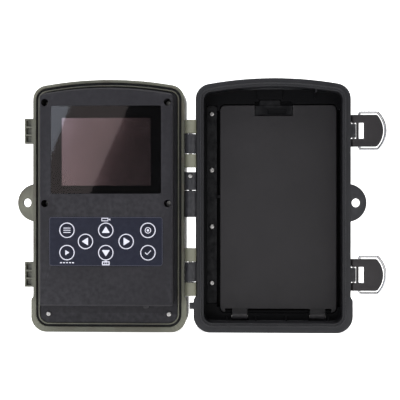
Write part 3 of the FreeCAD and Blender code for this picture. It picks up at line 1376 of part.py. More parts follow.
def board_parts():
    """Processor, memory, coil and capacitors on the back of the main board."""
    y0 = RIM_Y + MAIN_BOARD_D + MAIN_BOARD_T
    x, z = FRONT_X, MAIN_BOARD_Z[0]
    parts = [
        slab(x - 8, z + 34, 15, 15, 0.5, y0, y0 + 1.6),
        slab(x + 9, z + 36, 8, 11, 0.4, y0, y0 + 1.2),
        slab(x - 22, z + 14, 8, 8, 1.2, y0, y0 + 4.0),
        slab(x + 22, z + 14, 12, 7, 0.4, y0, y0 + 1.8),
    ]
    for i in range(3):
        parts.append(rod_y(x - 8 + 9 * i, z + 10, y0, y0 + 6.0, 3.0))
    return Part.makeCompound(parts)


def duct_cap():
    """Cap over the lead where it leaves the front half, with a counterbored screw."""
    z0, z1 = DUCT_JOIN_Z + DUCT_PLAY, DUCT_CAP_TOP
    screw_z = DUCT_JOIN_Z + DUCT_SCREW_UP
    lug_z0 = screw_z - 2.2 - 0.1
    barrel = rod_z(HINGE_X, RIM_Y, z0, z1, BARREL_R)
    room = LEAD_R + LEAD_PLAY + 0.9
    root = u_box(front_side, -room, HINGE_GAP, 0, LEAD_FRONT_D + room, z0, lug_z0)
    tongue = u_box(front_side, 0, HINGE_GAP, 0, BARREL_R, lug_z0, z1)
    cap = fuse([barrel, root, tongue])
    flat_y = RIM_Y - BARREL_R
    take = lead_room(1, front_side, LEAD_FRONT_D, HINGE_GAP + 1)
    mouth_top = DUCT_JOIN_Z + COLLAR_H + DUCT_PLAY
    take.append(rod_z(HINGE_X, RIM_Y, z0 - 1, mouth_top, COLLAR_R + 2 * DUCT_PLAY))
    take.append(rod_y(HINGE_X, screw_z, flat_y - 1, flat_y + 1.4, SMALL_HEAD_R + 0.15))
    take.append(rod_y(HINGE_X, screw_z, flat_y, RIM_Y + BARREL_R + 1, SCREW_SHANK_R + 0.2))
    return cut(cap, take)


def duct_cap_screw():
    return pan_screw(HINGE_X, DUCT_JOIN_Z + DUCT_SCREW_UP, 1.4 - BARREL_R, 8.5, SMALL_HEAD_R)


def mode_switch_body():
    y1 = RIM_Y + MAIN_BOARD_D
    z0 = BLOCK_Z0 + BLOCK_WALL
    x = FRONT_X + SWITCH_X
    body = box(x - SWITCH_W / 2, x + SWITCH_W / 2, y1 - SWITCH_T, y1, z0, z0 + 6.5)
    reach = KNOB_W / 2 + KNOB_TRAVEL + 0.3
    y = y1 - SWITCH_T / 2
    half = KNOB_T / 2 + 0.2
    return cut(body, [box(x - reach, x + reach, y - half, y + half, z0 - 1, z0 + 3.5)])


def mode_switch_knob():
    x = FRONT_X + SWITCH_X
    y = RIM_Y + MAIN_BOARD_D - SWITCH_T / 2
    z0 = BLOCK_Z0 + BLOCK_WALL
    half = KNOB_T / 2
    knob = box(x - KNOB_W / 2, x + KNOB_W / 2, y - half, y + half, BLOCK_Z0 - KNOB_OUT, z0 + 3.2)
    low = [e for e in knob.Edges if e.BoundBox.ZMax < BLOCK_Z0 - KNOB_OUT + 1e-4]
    return knob.makeFillet(0.4, low)


def usb_port():
    y1 = RIM_Y + MAIN_BOARD_D
    x = FRONT_X + USB_X
    z0 = BLOCK_Z0 + 0.4
    shell = box(x - USB_W / 2, x + USB_W / 2, y1 - USB_H, y1, z0, z0 + 7.0)
    mouth = box(x - USB_W / 2 + 0.4, x + USB_W / 2 - 0.4, y1 - USB_H + 0.4, y1 - 0.4, z0 - 1, z0 + 5.5)
    blade = box(x - USB_W / 2 + 1.6, x + USB_W / 2 - 1.6, y1 - 1.6, y1 - 1.1, z0 + 0.8, z0 + 5.7)
    return fuse([shell.cut(mouth), blade])


def sd_slot():
    """Metal card cage on the main board, open below."""
    y0, y1 = card_y() - 0.15 - SLOT_WALL, RIM_Y + MAIN_BOARD_D
    x = FRONT_X + CARD_X
    z0 = BLOCK_Z0 + BLOCK_WALL + 0.3
    z1 = BLOCK_Z0 - CARD_PROUD + CARD_H + 1.2
    half = CARD_W / 2 + 0.15
    cage = box(x - half - 1.0, x + half + 1.0, y0, y1, z0, z1)
    room = box(x - half, x + half, y0 + SLOT_WALL, y1 - SLOT_WALL, z0 - 1, z1 - 0.8)
    return cut(cage, [room])


def sd_card():
    """A memory card with its clipped corner."""
    y0 = card_y()
    x = FRONT_X + CARD_X
    z0 = BLOCK_Z0 - CARD_PROUD
    half = CARD_W / 2
    clip = 4.0
    corners = [
        Vector(x - half, y0, z0),
        Vector(x + half, y0, z0),
        Vector(x + half, y0, z0 + CARD_H),
        Vector(x - half + clip, y0, z0 + CARD_H),
        Vector(x - half, y0, z0 + CARD_H - clip),
        Vector(x - half, y0, z0),
    ]
    return Part.Face(Part.makePolygon(corners)).extrude(Vector(0, CARD_T, 0))


def front_fascia():
    y0 = RIM_Y + FRONT_DEPTH - FASCIA_SINK
    y1 = RIM_Y + FRONT_DEPTH + FASCIA_PROUD
    z = sum(FASCIA_Z) / 2
    plate = slab(FRONT_X, z, FASCIA_W, FASCIA_Z[1] - FASCIA_Z[0], FASCIA_R - FIT_GAP, y0, y1)
    plate = plate.makeFillet(0.7, edges_at(plate, y1))
    take = [
        slab(FRONT_X, IR_Z, IR_W, IR_H, 3.0, y0 - 1, y1 + 1),
        rod_y(FRONT_X, LENS_Z, y0 - 1, y1 + 1, LENS_R + LENS_PLAY),
        slab(FRONT_X, PIR_Z, PIR_W + 2 * PIR_FLANGE, PIR_H + 2 * PIR_FLANGE, 3.0, y0 - 1, y1 + 1),
    ]
    return cut(plate, take)


def ir_window():
    y0 = RIM_Y + FRONT_DEPTH - FASCIA_SINK
    y1 = RIM_Y + FRONT_DEPTH + FASCIA_PROUD
    pane = slab(FRONT_X, IR_Z, IR_W - 0.2, IR_H - 0.2, 2.9, y0, y1)
    return pane.makeFillet(0.4, edges_at(pane, y1))


def ir_board():
    y0 = RIM_Y + IR_BOARD_D
    return slab(FRONT_X, IR_Z, IR_W + 3, IR_H - 1, 1.0, y0, y0 + BOARD_T)


def ir_leds():
    """Rows of domed emitters behind the window."""
    y0 = RIM_Y + IR_BOARD_D + BOARD_T
    leds = []
    for row in range(LED_ROWS):
        for column in range(LED_COLUMNS):
            x = FRONT_X + (column - (LED_COLUMNS - 1) / 2) * LED_PITCH
            z = IR_Z + (row - (LED_ROWS - 1) / 2) * LED_PITCH
            can = rod_y(x, z, y0, y0 + LED_H - LED_R, LED_R)
            tip = Part.makeSphere(LED_R, Vector(x, y0 + LED_H - LED_R, z))
            leds.append(fuse([can, tip]))
    return Part.makeCompound(leds)


def lens_barrel():
    y0, y1 = RIM_Y + LENS_D0, RIM_Y + FRONT_DEPTH + LENS_PROUD
    barrel = rod_y(FRONT_X, LENS_Z, y0, y1, LENS_R)
    barrel = barrel.makeFillet(0.6, edges_at(barrel, y1))
    bore = rod_y(FRONT_X, LENS_Z, y0 - 1, y1 + 1, LENS_BORE_R)
    mouth = Part.makeCone(LENS_BORE_R, LENS_R - 0.9, 2.5, Vector(FRONT_X, y1 - 2.4, LENS_Z), Vector(0, 1, 0))
    return cut(barrel, [bore, mouth])


def lens_glass():
    """Front element: a domed disc."""
    y = RIM_Y + FRONT_DEPTH - 3.0
    ball_r = 9.0
    disc = rod_y(FRONT_X, LENS_Z, y, y + 4, LENS_BORE_R)
    ball = Part.makeSphere(ball_r, Vector(FRONT_X, y + 3.0 - ball_r, LENS_Z))
    return disc.common(ball)


def sensor_board():
    y0 = RIM_Y + SENSOR_BOARD_D
    return slab(FRONT_X, SENSOR_BOARD_Z, SENSOR_BOARD_W, SENSOR_BOARD_H, 1.5, y0, y0 + BOARD_T)


def image_sensor():
    y0 = RIM_Y + SENSOR_BOARD_D + BOARD_T
    return slab(FRONT_X, LENS_Z, IMAGE_W, IMAGE_H, 0.4, y0, y0 + IMAGE_T)


def pir_sensor():
    """Can with a flat window, on the sensor board."""
    y0 = RIM_Y + SENSOR_BOARD_D + BOARD_T
    can = rod_y(FRONT_X, PIR_Z, y0, y0 + 4.2, 4.1)
    rim = rod_y(FRONT_X, PIR_Z, y0, y0 + 0.5, 4.6)
    window = box(FRONT_X - 2, FRONT_X + 2, y0 + 3.9, y0 + 9, PIR_Z - 1.5, PIR_Z + 1.5)
    return cut(fuse([can, rim]), [window])


def pir_lens():
    """White lens sheet that bulges sideways, on a flange in the fascia."""
    y0 = RIM_Y + FRONT_DEPTH - FASCIA_SINK
    y1 = RIM_Y + FRONT_DEPTH + FASCIA_PROUD
    axis_y = y1 - math.sqrt(PIR_R**2 - (PIR_W / 2) ** 2)
    z0, z1 = PIR_Z - PIR_H / 2, PIR_Z + PIR_H / 2
    crown = y1 + PIR_R
    outer = rod_z(FRONT_X, axis_y, z0, z1, PIR_R)
    outer = outer.common(box(FRONT_X - PIR_W / 2, FRONT_X + PIR_W / 2, y0, crown, z0, z1))
    inner = rod_z(FRONT_X, axis_y, z0 + PIR_T, z1 - PIR_T, PIR_R - PIR_T)
    half = PIR_W / 2 - PIR_T
    inner = inner.common(box(FRONT_X - half, FRONT_X + half, y0 - 1, crown, z0 + PIR_T, z1 - PIR_T))
    rim = slab(FRONT_X, PIR_Z, PIR_W + 2 * PIR_FLANGE - 0.2, PIR_H + 2 * PIR_FLANGE - 0.2, 2.9, y0, y1)
    return cut(fuse([outer, rim]), [inner])


def build():
    nodes = {
        "rear_shell": rear_shell(),
        "battery_tray": battery_tray(),
        "contact_springs": contact_springs(),
        "contact_plates": contact_plates(),
        "aa_cells": aa_cells(),
        "battery_door": battery_door(),
        "door_pins": door_pins(),
        "door_latch": door_latch(),
        "wiring_cover": wiring_cover(),
        "wiring_cover_screws": wiring_cover_screws(),
        "tripod_insert": tripod_insert(),
        "dc_jack": dc_jack(),
        "dc_plug": dc_plug(),
        "tree_bracket": tree_bracket(),
        "bracket_screws": bracket_screws(),
        "hinge_pins": hinge_pins(),
        "hinge_bumper": hinge_bumper(),
        "latch_pins": latch_pins(),
        "power_lead_rear": power_lead(-1, rear_side, LEAD_REAR_D, TRAY_SIDE_U, LEAD_R),
        "front_shell": front_shell(),
        "gasket": gasket(),
        "inner_cover": inner_cover(),
        "cover_screws": cover_screws(),
        "display_window": display_window(),
        "lcd_frame": lcd_frame(),
        "lcd_module": lcd_module(),
        "keypad_overlay": keypad_overlay(),
        "key_board": key_board(),
        "main_board": main_board(),
        "board_parts": board_parts(),
        "duct_cap": duct_cap(),
        "duct_cap_screw": duct_cap_screw(),
        "power_lead_front": power_lead(1, front_side, LEAD_FRONT_D, 12.0, LEAD_R),
        "mode_switch_body": mode_switch_body(),
        "mode_switch_knob": mode_switch_knob(),
        "usb_port": usb_port(),
        "sd_slot": sd_slot(),
        "sd_card": sd_card(),
        "front_fascia": front_fascia(),
        "ir_window": ir_window(),
        "ir_board": ir_board(),
        "ir_leds": ir_leds(),
        "lens_barrel": lens_barrel(),
        "lens_glass": lens_glass(),
        "sensor_board": sensor_board(),
        "image_sensor": image_sensor(),
        "pir_sensor": pir_sensor(),
        "pir_lens": pir_lens(),
    }
    for name, z in LATCH_ZS:
        nodes["latch_lever_" + name] = latch_lever(z)
        nodes["bail_" + name] = bail(z)
    for name, x, z in key_places():
        nodes["key_" + name] = key(x, z)
    return nodes


os.makedirs("parts", exist_ok=True)
for node_name, node_shape in build().items():
    node_shape.exportStep("parts/" + node_name + ".step")
    print(node_name, len(node_shape.Solids), round(node_shape.Volume, 1), node_shape.isValid())
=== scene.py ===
"""Looks of the trail camera: materials, printed marks, fine parts, light and camera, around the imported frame.

Metres, in the frame's own axes. The viewer looks along +Y into the open case.
"""

import math

import bmesh
import bpy
from mathutils import Matrix, Vector


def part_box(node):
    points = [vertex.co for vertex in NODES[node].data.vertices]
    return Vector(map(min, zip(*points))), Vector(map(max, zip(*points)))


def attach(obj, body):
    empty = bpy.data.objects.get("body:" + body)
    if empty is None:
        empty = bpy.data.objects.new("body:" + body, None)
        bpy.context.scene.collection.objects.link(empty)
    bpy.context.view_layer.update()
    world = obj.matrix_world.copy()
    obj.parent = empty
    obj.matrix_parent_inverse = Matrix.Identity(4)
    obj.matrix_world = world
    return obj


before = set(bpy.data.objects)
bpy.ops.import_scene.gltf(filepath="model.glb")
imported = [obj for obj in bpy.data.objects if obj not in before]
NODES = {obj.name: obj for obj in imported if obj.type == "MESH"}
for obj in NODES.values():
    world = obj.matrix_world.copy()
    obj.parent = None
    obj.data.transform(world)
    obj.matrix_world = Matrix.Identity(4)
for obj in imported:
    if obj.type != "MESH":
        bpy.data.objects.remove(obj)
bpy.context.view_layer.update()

MM = 0.001
SCENE = bpy.context.scene

# ---- camera and studio ----
CAMERA_AT = (-0.01762, -0.60937, 0.07717)
CAMERA_TURN = math.radians(2.34)  # towards the electronics half
CAMERA_TILT = math.radians(-0.12)
CAMERA_LENS = 92.7
STUDIO_WHITE = (1.0, 1.0, 1.0)
CARD_Y = -0.609  # the camera's plane
WORLD_LIGHT = 0.06

# ---- printed marks ----
PRINT_UP = 0.02 * MM  # ink above the film
PRINT_T = 0.05 * MM
RING_W = 0.5 * MM
RING_INSET = 0.12 * MM
KEY_FLANGE = 0.65 * MM  # hidden flange round a key's face
LINE_INSET = 0.25 * MM  # film's edge to its printed outline
LINE_R = 1.4 * MM
LINE_W = 0.14 * MM
VIEW_HALF_W = 25.2 * MM  # clear part of the display window
VIEW_HALF_H = 19.1 * MM
MASK_INSET = 0.4 * MM

# ---- quarter-inch tripod thread ----
THREAD_PITCH = 1.27 * MM
THREAD_MAJOR_R = 3.17 * MM
THREAD_MINOR_R = 2.6 * MM
THREAD_START = 0.8 * MM  # foot to the middle of the first turn


def linear(r, g, b):
    """An sRGB colour, 0 to 255, as linear light."""
    out = []
    for c in (r, g, b):
        c /= 255
        out.append(c / 12.92 if c <= 0.04045 else ((c + 0.055) / 1.055) ** 2.4)
    return tuple(out)


def scaled(colour, k):
    return tuple(c * k for c in colour)


# ---- materials ----
class Shader:
    """A material's node tree, with short calls for the nodes used here."""

    def __init__(self, name):
        self.material = bpy.data.materials.new(name)
        self.material.use_nodes = True
        self.tree = self.material.node_tree
        self.bsdf = self.tree.nodes["Principled BSDF"]
        self.coords = self.add("ShaderNodeTexCoord").outputs["Object"]

    def add(self, kind, **values):
        node = self.tree.nodes.new(kind)
        for key, value in values.items():
            setattr(node, key, value)
        return node

    def link(self, a, b):
        self.tree.links.new(a, b)

    def set(self, **values):
        for key, value in values.items():
            socket = self.bsdf.inputs[key.replace("_", " ")]
            socket.default_value = (*value, 1.0) if isinstance(value, tuple) else value

    def noise(self, scale, detail=3.0, stretch=None):
        node = self.add("ShaderNodeTexNoise")
        node.inputs["Scale"].default_value = scale
        node.inputs["Detail"].default_value = detail
        source = self.coords
        if stretch:
            mapping = self.add("ShaderNodeMapping")
            mapping.inputs["Scale"].default_value = stretch
            self.link(self.coords, mapping.inputs["Vector"])
            source = mapping.outputs["Vector"]
        self.link(source, node.inputs["Vector"])
        return node.outputs["Fac"]

    def ramp(self, factor, stops, mode="LINEAR"):
        node = self.add("ShaderNodeValToRGB")
        node.color_ramp.interpolation = mode
        elements = node.color_ramp.elements
        while len(elements) < len(stops):
            elements.new(0.5)
        for element, (place, colour) in zip(elements, stops):
            element.position = place
            element.color = (*colour, 1.0)
        self.link(factor, node.inputs["Fac"])
        return node.outputs["Color"]

    def span(self, factor, low, high, start=0.3, end=0.7):
        node = self.add("ShaderNodeMapRange")
        node.inputs["From Min"].default_value = start
        node.inputs["From Max"].default_value = end
        node.inputs["To Min"].default_value = low
        node.inputs["To Max"].default_value = high
        self.link(factor, node.inputs["Value"])
        return node.outputs["Result"]

    def mix(self, factor, a, b, blend="MIX"):
        node = self.add("ShaderNodeMix", data_type="RGBA", blend_type=blend)
        if isinstance(factor, float):
            node.inputs["Factor"].default_value = factor
        else:
            self.link(factor, node.inputs["Factor"])
        for socket, value in ((node.inputs[6], a), (node.inputs[7], b)):
            if isinstance(value, tuple):
                socket.default_value = (*value, 1.0)
            else:
                self.link(value, socket)
        return node.outputs[2]

    def bump(self, height, strength, distance, under=None):
        node = self.add("ShaderNodeBump")
        node.inputs["Strength"].default_value = strength
        node.inputs["Distance"].default_value = distance
        self.link(height, node.inputs["Height"])
        if under is not None:
            self.link(under, node.inputs["Normal"])
        return node.outputs["Normal"]

    def soft_edges(self, radius):
        node = self.add("ShaderNodeBevel", samples=4)
        node.inputs["Radius"].default_value = radius
        return node.outputs["Normal"]

    def within(self, low, high, soft):
        """1 inside a box of object coordinates, 0 outside, with soft sides."""
        split = self.add("ShaderNodeSeparateXYZ")
        self.link(self.coords, split.inputs[0])
        total = None
        for axis in range(3):
            for bound, way in ((low[axis], 1), (high[axis], -1)):
                start, end = bound - way * soft[axis] / 2, bound + way * soft[axis] / 2
                side = self.span(split.outputs[axis], 0.0, 1.0, start, end)
                if total is None:
                    total = side
                    continue
                join = self.add("ShaderNodeMath", operation="MULTIPLY")
                self.link(total, join.inputs[0])
                self.link(side, join.inputs[1])
                total = join.outputs[0]
        return total

    def edge_light(self, low=0.52, high=0.62):
        """Near 1 on worn outer edges, 0 elsewhere."""
        geometry = self.add("ShaderNodeNewGeometry")
        return self.span(geometry.outputs["Pointiness"], 0.0, 1.0, low, high)


def moulded(name, colour, rough=0.5, grain=3500.0, bump=0.25, edge=0.25, wear=0.5, specular=0.25, inner=None):
    """Moulded plastic: a fine spark-eroded grain, soft edges, faint cloudiness and paler rubbed edges; inside
    the optional box given as inner, painted shade darkens the colour and dims the specular.
    """
    s = Shader(name)
    cloud = s.noise(55.0, 4.0)
    body = s.ramp(cloud, [(0.3, scaled(colour, 0.86)), (0.7, scaled(colour, 1.14))])
    speck = s.noise(grain * 0.5, 2.0)
    body = s.mix(s.span(speck, 0.0, 0.35), body, scaled(colour, 1.35))
    rubbed = s.edge_light()
    scuff = s.add("ShaderNodeMath", operation="MULTIPLY")
    s.link(rubbed, scuff.inputs[0])
    s.link(s.span(s.noise(400.0), 0.0, wear), scuff.inputs[1])
    body = s.mix(scuff.outputs[0], body, tuple(min(1.0, c * 2.2 + 0.02) for c in colour))
    # painted shade: inside the box the colour falls to a fifth and the specular to a fifth, standing in for the
    # shade deep in a recess
    if inner:
        cavity_shade = s.within(*inner)
        body = s.mix(cavity_shade, body, scaled(colour, 0.2))
        s.link(s.span(cavity_shade, specular, specular * 0.2, 0.0, 1.0), s.bsdf.inputs["Specular IOR Level"])
    else:
        s.set(Specular_IOR_Level=specular)
    s.link(body, s.bsdf.inputs["Base Color"])
    s.link(s.span(s.noise(220.0, 3.0), rough - 0.05, rough + 0.07), s.bsdf.inputs["Roughness"])
    normal = s.soft_edges(edge * MM)
    s.link(s.bump(s.noise(grain, 2.0), bump, 0.03 * MM, normal), s.bsdf.inputs["Normal"])
    return s.material


def camouflage(name, green, brown, dark):
    """Olive plastic with printed camouflage patches and a fine grain."""
    s = Shader(name)
    patches = s.noise(28.0, 2.5, (1.0, 1.0, 1.6))
    body = s.ramp(patches, [(0.0, green), (0.52, green), (0.555, brown), (0.62, brown), (0.65, dark)])
    cloud = s.noise(70.0, 4.0)
    body = s.mix(s.span(cloud, 0.0, 0.4), body, scaled(green, 1.2))
    speck = s.noise(1800.0, 2.0)
    body = s.mix(s.span(speck, 0.0, 0.3), body, scaled(green, 1.5))
    body = s.mix(s.edge_light(), body, scaled(green, 1.9))
    s.link(body, s.bsdf.inputs["Base Color"])
    s.link(s.span(s.noise(200.0), 0.46, 0.6), s.bsdf.inputs["Roughness"])
    normal = s.soft_edges(0.8 * MM)
    s.link(s.bump(s.noise(3200.0, 2.0), 0.3, 0.03 * MM, normal), s.bsdf.inputs["Normal"])
    return s.material


def metal(name, colour, rough, brush=(1.0, 1.0, 1.0), bump=0.15, tarnish=0.8):
    """Bright metal with a fine brushed or drawn finish and slight tarnish."""
    s = Shader(name)
    stain = s.noise(500.0, 4.0)
    body = s.ramp(stain, [(0.35, scaled(colour, tarnish)), (0.65, colour)])
    s.link(body, s.bsdf.inputs["Base Color"])
    s.set(Metallic=1.0)
    streaks = s.noise(2500.0, 3.0, brush)
    s.link(s.span(streaks, rough - 0.06, rough + 0.1), s.bsdf.inputs["Roughness"])
    normal = s.soft_edges(0.12 * MM)
    s.link(s.bump(streaks, bump, 0.01 * MM, normal), s.bsdf.inputs["Normal"])
    return s.material


def rubber(name, colour):
    s = Shader(name)
    body = s.ramp(s.noise(300.0, 4.0), [(0.3, scaled(colour, 0.7)), (0.7, scaled(colour, 1.4))])
    s.link(body, s.bsdf.inputs["Base Color"])
    s.link(s.span(s.noise(900.0), 0.62, 0.8), s.bsdf.inputs["Roughness"])
    normal = s.soft_edges(0.25 * MM)
    s.link(s.bump(s.noise(2600.0, 3.0), 0.3, 0.03 * MM, normal), s.bsdf.inputs["Normal"])
    s.set(Specular_IOR_Level=0.3)
    return s.material


def clear(name, tint, rough=0.015, smudge=0.05):
    """Clear or tinted pane, with faint smears in its gloss."""
    s = Shader(name)
    s.set(Transmission_Weight=1.0, IOR=1.49)
    body = s.ramp(s.noise(60.0, 3.0), [(0.3, scaled(tint, 0.94)), (0.7, tint)])
    s.link(body, s.bsdf.inputs["Base Color"])
    s.link(s.span(s.noise(90.0, 5.0), rough, rough + smudge, 0.45, 0.85), s.bsdf.inputs["Roughness"])
    return s.material


def glossy(name, colour, rough=0.12):
    s = Shader(name)
    body = s.ramp(s.noise(80.0, 3.0), [(0.3, scaled(colour, 0.85)), (0.7, scaled(colour, 1.15))])
    s.link(body, s.bsdf.inputs["Base Color"])
    s.link(s.span(s.noise(260.0, 4.0), rough, rough + 0.08), s.bsdf.inputs["Roughness"])
    s.link(s.soft_edges(0.25 * MM), s.bsdf.inputs["Normal"])
    s.set(Specular_IOR_Level=0.25)
    return s.material


def mirror_panel(name, colour, rough):
    """The dark polariser of a display that is off: a dim, slightly warm mirror over black."""
    s = Shader(name)
    body = s.ramp(s.noise(45.0, 2.0), [(0.3, scaled(colour, 0.92)), (0.7, scaled(colour, 1.08))])
    s.link(body, s.bsdf.inputs["Base Color"])
    s.set(Metallic=1.0)
    s.link(s.span(s.noise(260.0, 4.0), rough, rough + 0.05), s.bsdf.inputs["Roughness"])
    return s.material


def circuit(name):
    """Green solder mask with paler tracks and plated dots."""
    s = Shader(name)
    track = s.add("ShaderNodeTexBrick")
    track.inputs["Scale"].default_value = 420.0
    track.inputs["Mortar Size"].default_value = 0.018
    track.inputs["Color1"].default_value = (0.012, 0.085, 0.035, 1.0)
    track.inputs["Color2"].default_value = (0.016, 0.105, 0.045, 1.0)
    track.inputs["Mortar"].default_value = (0.03, 0.19, 0.085, 1.0)
    turn = s.add("ShaderNodeMapping")
    turn.inputs["Rotation"].default_value = (math.pi / 2, 0.0, 0.0)
    s.link(s.coords, turn.inputs["Vector"])
    s.link(turn.outputs["Vector"], track.inputs["Vector"])
    dots = s.add("ShaderNodeTexVoronoi")
    dots.inputs["Scale"].default_value = 520.0
    s.link(s.coords, dots.inputs["Vector"])
    plated = s.span(dots.outputs["Distance"], 1.0, 0.0, 0.10, 0.14)
    body = s.mix(plated, track.outputs["Color"], (0.62, 0.58, 0.42))
    s.link(body, s.bsdf.inputs["Base Color"])
    s.link(s.span(s.noise(400.0), 0.25, 0.4), s.bsdf.inputs["Roughness"])
    return s.material


def fresnel_sheet(name):
    """Milky lens sheet with fine concentric grooves in a grid of fields."""
    s = Shader(name)
    body = s.ramp(s.noise(120.0, 3.0), [(0.3, (0.40, 0.40, 0.39)), (0.7, (0.48, 0.48, 0.47))])
    s.link(body, s.bsdf.inputs["Base Color"])
    cells = s.add("ShaderNodeTexVoronoi", feature="F1")
    cells.inputs["Scale"].default_value = 130.0
    cells.inputs["Randomness"].default_value = 0.0
    s.link(s.coords, cells.inputs["Vector"])
    rings = s.add("ShaderNodeMath", operation="SINE")
    grow = s.add("ShaderNodeMath", operation="MULTIPLY")
    grow.inputs[1].default_value = 55.0
    s.link(cells.outputs["Distance"], grow.inputs[0])
    s.link(grow.outputs[0], rings.inputs[0])
    s.link(s.bump(rings.outputs[0], 0.5, 0.08 * MM), s.bsdf.inputs["Normal"])
    s.link(s.span(s.noise(500.0), 0.3, 0.42), s.bsdf.inputs["Roughness"])
    s.set(Subsurface_Weight=0.25, Subsurface_Scale=1.5 * MM)
    return s.material


def cell_jacket(name):
    """Dark cell jackets with a copper-coloured shoulder and steel ends."""
    s = Shader(name)
    split = s.add("ShaderNodeSeparateXYZ")
    s.link(s.coords, split.inputs[0])
    low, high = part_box("aa_cells")
    middle = (low.z + high.z) / 2
    fold = s.add("ShaderNodeMath", operation="SUBTRACT")
    fold.inputs[1].default_value = middle
    s.link(split.outputs["Z"], fold.inputs[0])
    reach = s.add("ShaderNodeMath", operation="ABSOLUTE")
    s.link(fold.outputs[0], reach.inputs[0])
    share = s.add("ShaderNodeMath", operation="DIVIDE")
    share.inputs[1].default_value = (high.z - low.z) / 2
    s.link(reach.outputs[0], share.inputs[0])
    stops = [(0.0, (0.45, 0.44, 0.42)), (0.09, (0.02, 0.022, 0.026)), (0.62, (0.42, 0.2, 0.09))]
    body = s.ramp(share.outputs[0], stops, "CONSTANT")
    s.link(s.mix(s.span(s.noise(300.0), 0.0, 0.2), body, (0.25, 0.25, 0.25)), s.bsdf.inputs["Base Color"])
    s.link(s.span(s.noise(150.0), 0.25, 0.4), s.bsdf.inputs["Roughness"])
    s.set(Metallic=0.35)
    return s.material


def ink(name, colour):
    s = Shader(name)
    body = s.ramp(s.noise(1500.0, 3.0), [(0.3, scaled(colour, 0.9)), (0.7, colour)])
    s.link(body, s.bsdf.inputs["Base Color"])
    s.link(s.span(s.noise(700.0), 0.45, 0.6), s.bsdf.inputs["Roughness"])
    return s.material


def studio(name):
    """Pale seamless paper, bright enough to read as white."""
    s = Shader(name)
    body = s.ramp(s.noise(6.0, 2.0), [(0.3, (0.86, 0.86, 0.86)), (0.7, (0.9, 0.9, 0.9))])
    s.link(body, s.bsdf.inputs["Base Color"])
    s.set(Roughness=0.9, Emission_Color=STUDIO_WHITE, Emission_Strength=0.95)
    return s.material


OLIVE = (0.066, 0.0665, 0.048)
BLACK = (0.0105, 0.0105, 0.0125)

# painted shade: the box of the rear shell's open cavity, inside which the colour and specular are darkened
CAVITY_SHADE_BOX = ((-0.040, -0.014, 0.0056), (0.040, 0.014, 0.1405), (0.0004, 0.011, 0.0006))  # low, high, softness

MATERIALS = {
    "shell_olive": camouflage("shell_olive", OLIVE, (0.040, 0.030, 0.021), (0.015, 0.017, 0.012)),
    # the rear shell carries painted shade inside its open cavity: darker colour and dimmer specular
    "shell_black": moulded("shell_black", BLACK, 0.46, edge=0.7, specular=0.28, inner=CAVITY_SHADE_BOX),
    "trim_black": moulded("trim_black", (0.011, 0.0105, 0.012), 0.46, 4200.0, 0.2),
    "door_black": moulded("door_black", (0.0105, 0.0095, 0.0105), 0.5, 3000.0, 0.35),
    "strip_black": moulded("strip_black", (0.003, 0.003, 0.0035), 0.65, 3000.0, 0.3, specular=0.08),
    "cover_grey": moulded("cover_grey", (0.0085, 0.008, 0.0102), 0.5, 3600.0, 0.3, specular=0.18),
    "tray_black": moulded("tray_black", (0.015, 0.015, 0.016), 0.5),
    "lever_black": moulded("lever_black", (0.014, 0.0125, 0.0135), 0.45, 4000.0, 0.2, 0.35),
    "film_keypad": moulded("film_keypad", (0.0042, 0.0052, 0.013), 0.42, 5200.0, 0.15, 0.1, 0.2, 0.15),
    "film_key": moulded("film_key", (0.004, 0.0049, 0.0122), 0.4, 5200.0, 0.15, 0.1, 0.2, 0.15),
    "chip_black": moulded("chip_black", (0.012, 0.012, 0.013), 0.45, 6000.0, 0.2, 0.1),
    "card_blue": moulded("card_blue", (0.02, 0.035, 0.09), 0.4, 4000.0, 0.15, 0.2),
    "rubber": rubber("rubber", (0.008, 0.008, 0.009)),
    "steel": metal("steel", (0.42, 0.41, 0.40), 0.34),
    "spring": metal("spring", (0.70, 0.69, 0.66), 0.25, (1.0, 1.0, 3.0)),
    "chrome": metal("chrome", (0.42, 0.42, 0.43), 0.16, (1.0, 1.0, 1.0), 0.05, 0.9),
    "brass": metal("brass", (0.72, 0.54, 0.26), 0.3, (1.0, 1.0, 6.0)),
    "pane": clear("pane", (0.86, 0.80, 0.82), 0.03, 0.0),
    "filter": clear("filter", (0.10, 0.03, 0.045), 0.02),
    "lens": clear("lens", (0.75, 0.80, 0.95), 0.005, 0.01),
    "led": clear("led", (0.92, 0.90, 0.97), 0.03, 0.02),
    "lcd": mirror_panel("lcd", (0.15, 0.12, 0.122), 0.10),
    "mask": moulded("mask", (0.002, 0.002, 0.0025), 0.8, 3000.0, 0.0, 0.05, 0.0, 0.02),
    "fascia": glossy("fascia", (0.010, 0.010, 0.011), 0.22),
    "circuit": circuit("circuit"),
    "fresnel": fresnel_sheet("fresnel"),
    "cells": cell_jacket("cells"),
    "ink": ink("ink", linear(196, 196, 208)),
    "faint_ink": ink("faint_ink", linear(66, 67, 80)),
}

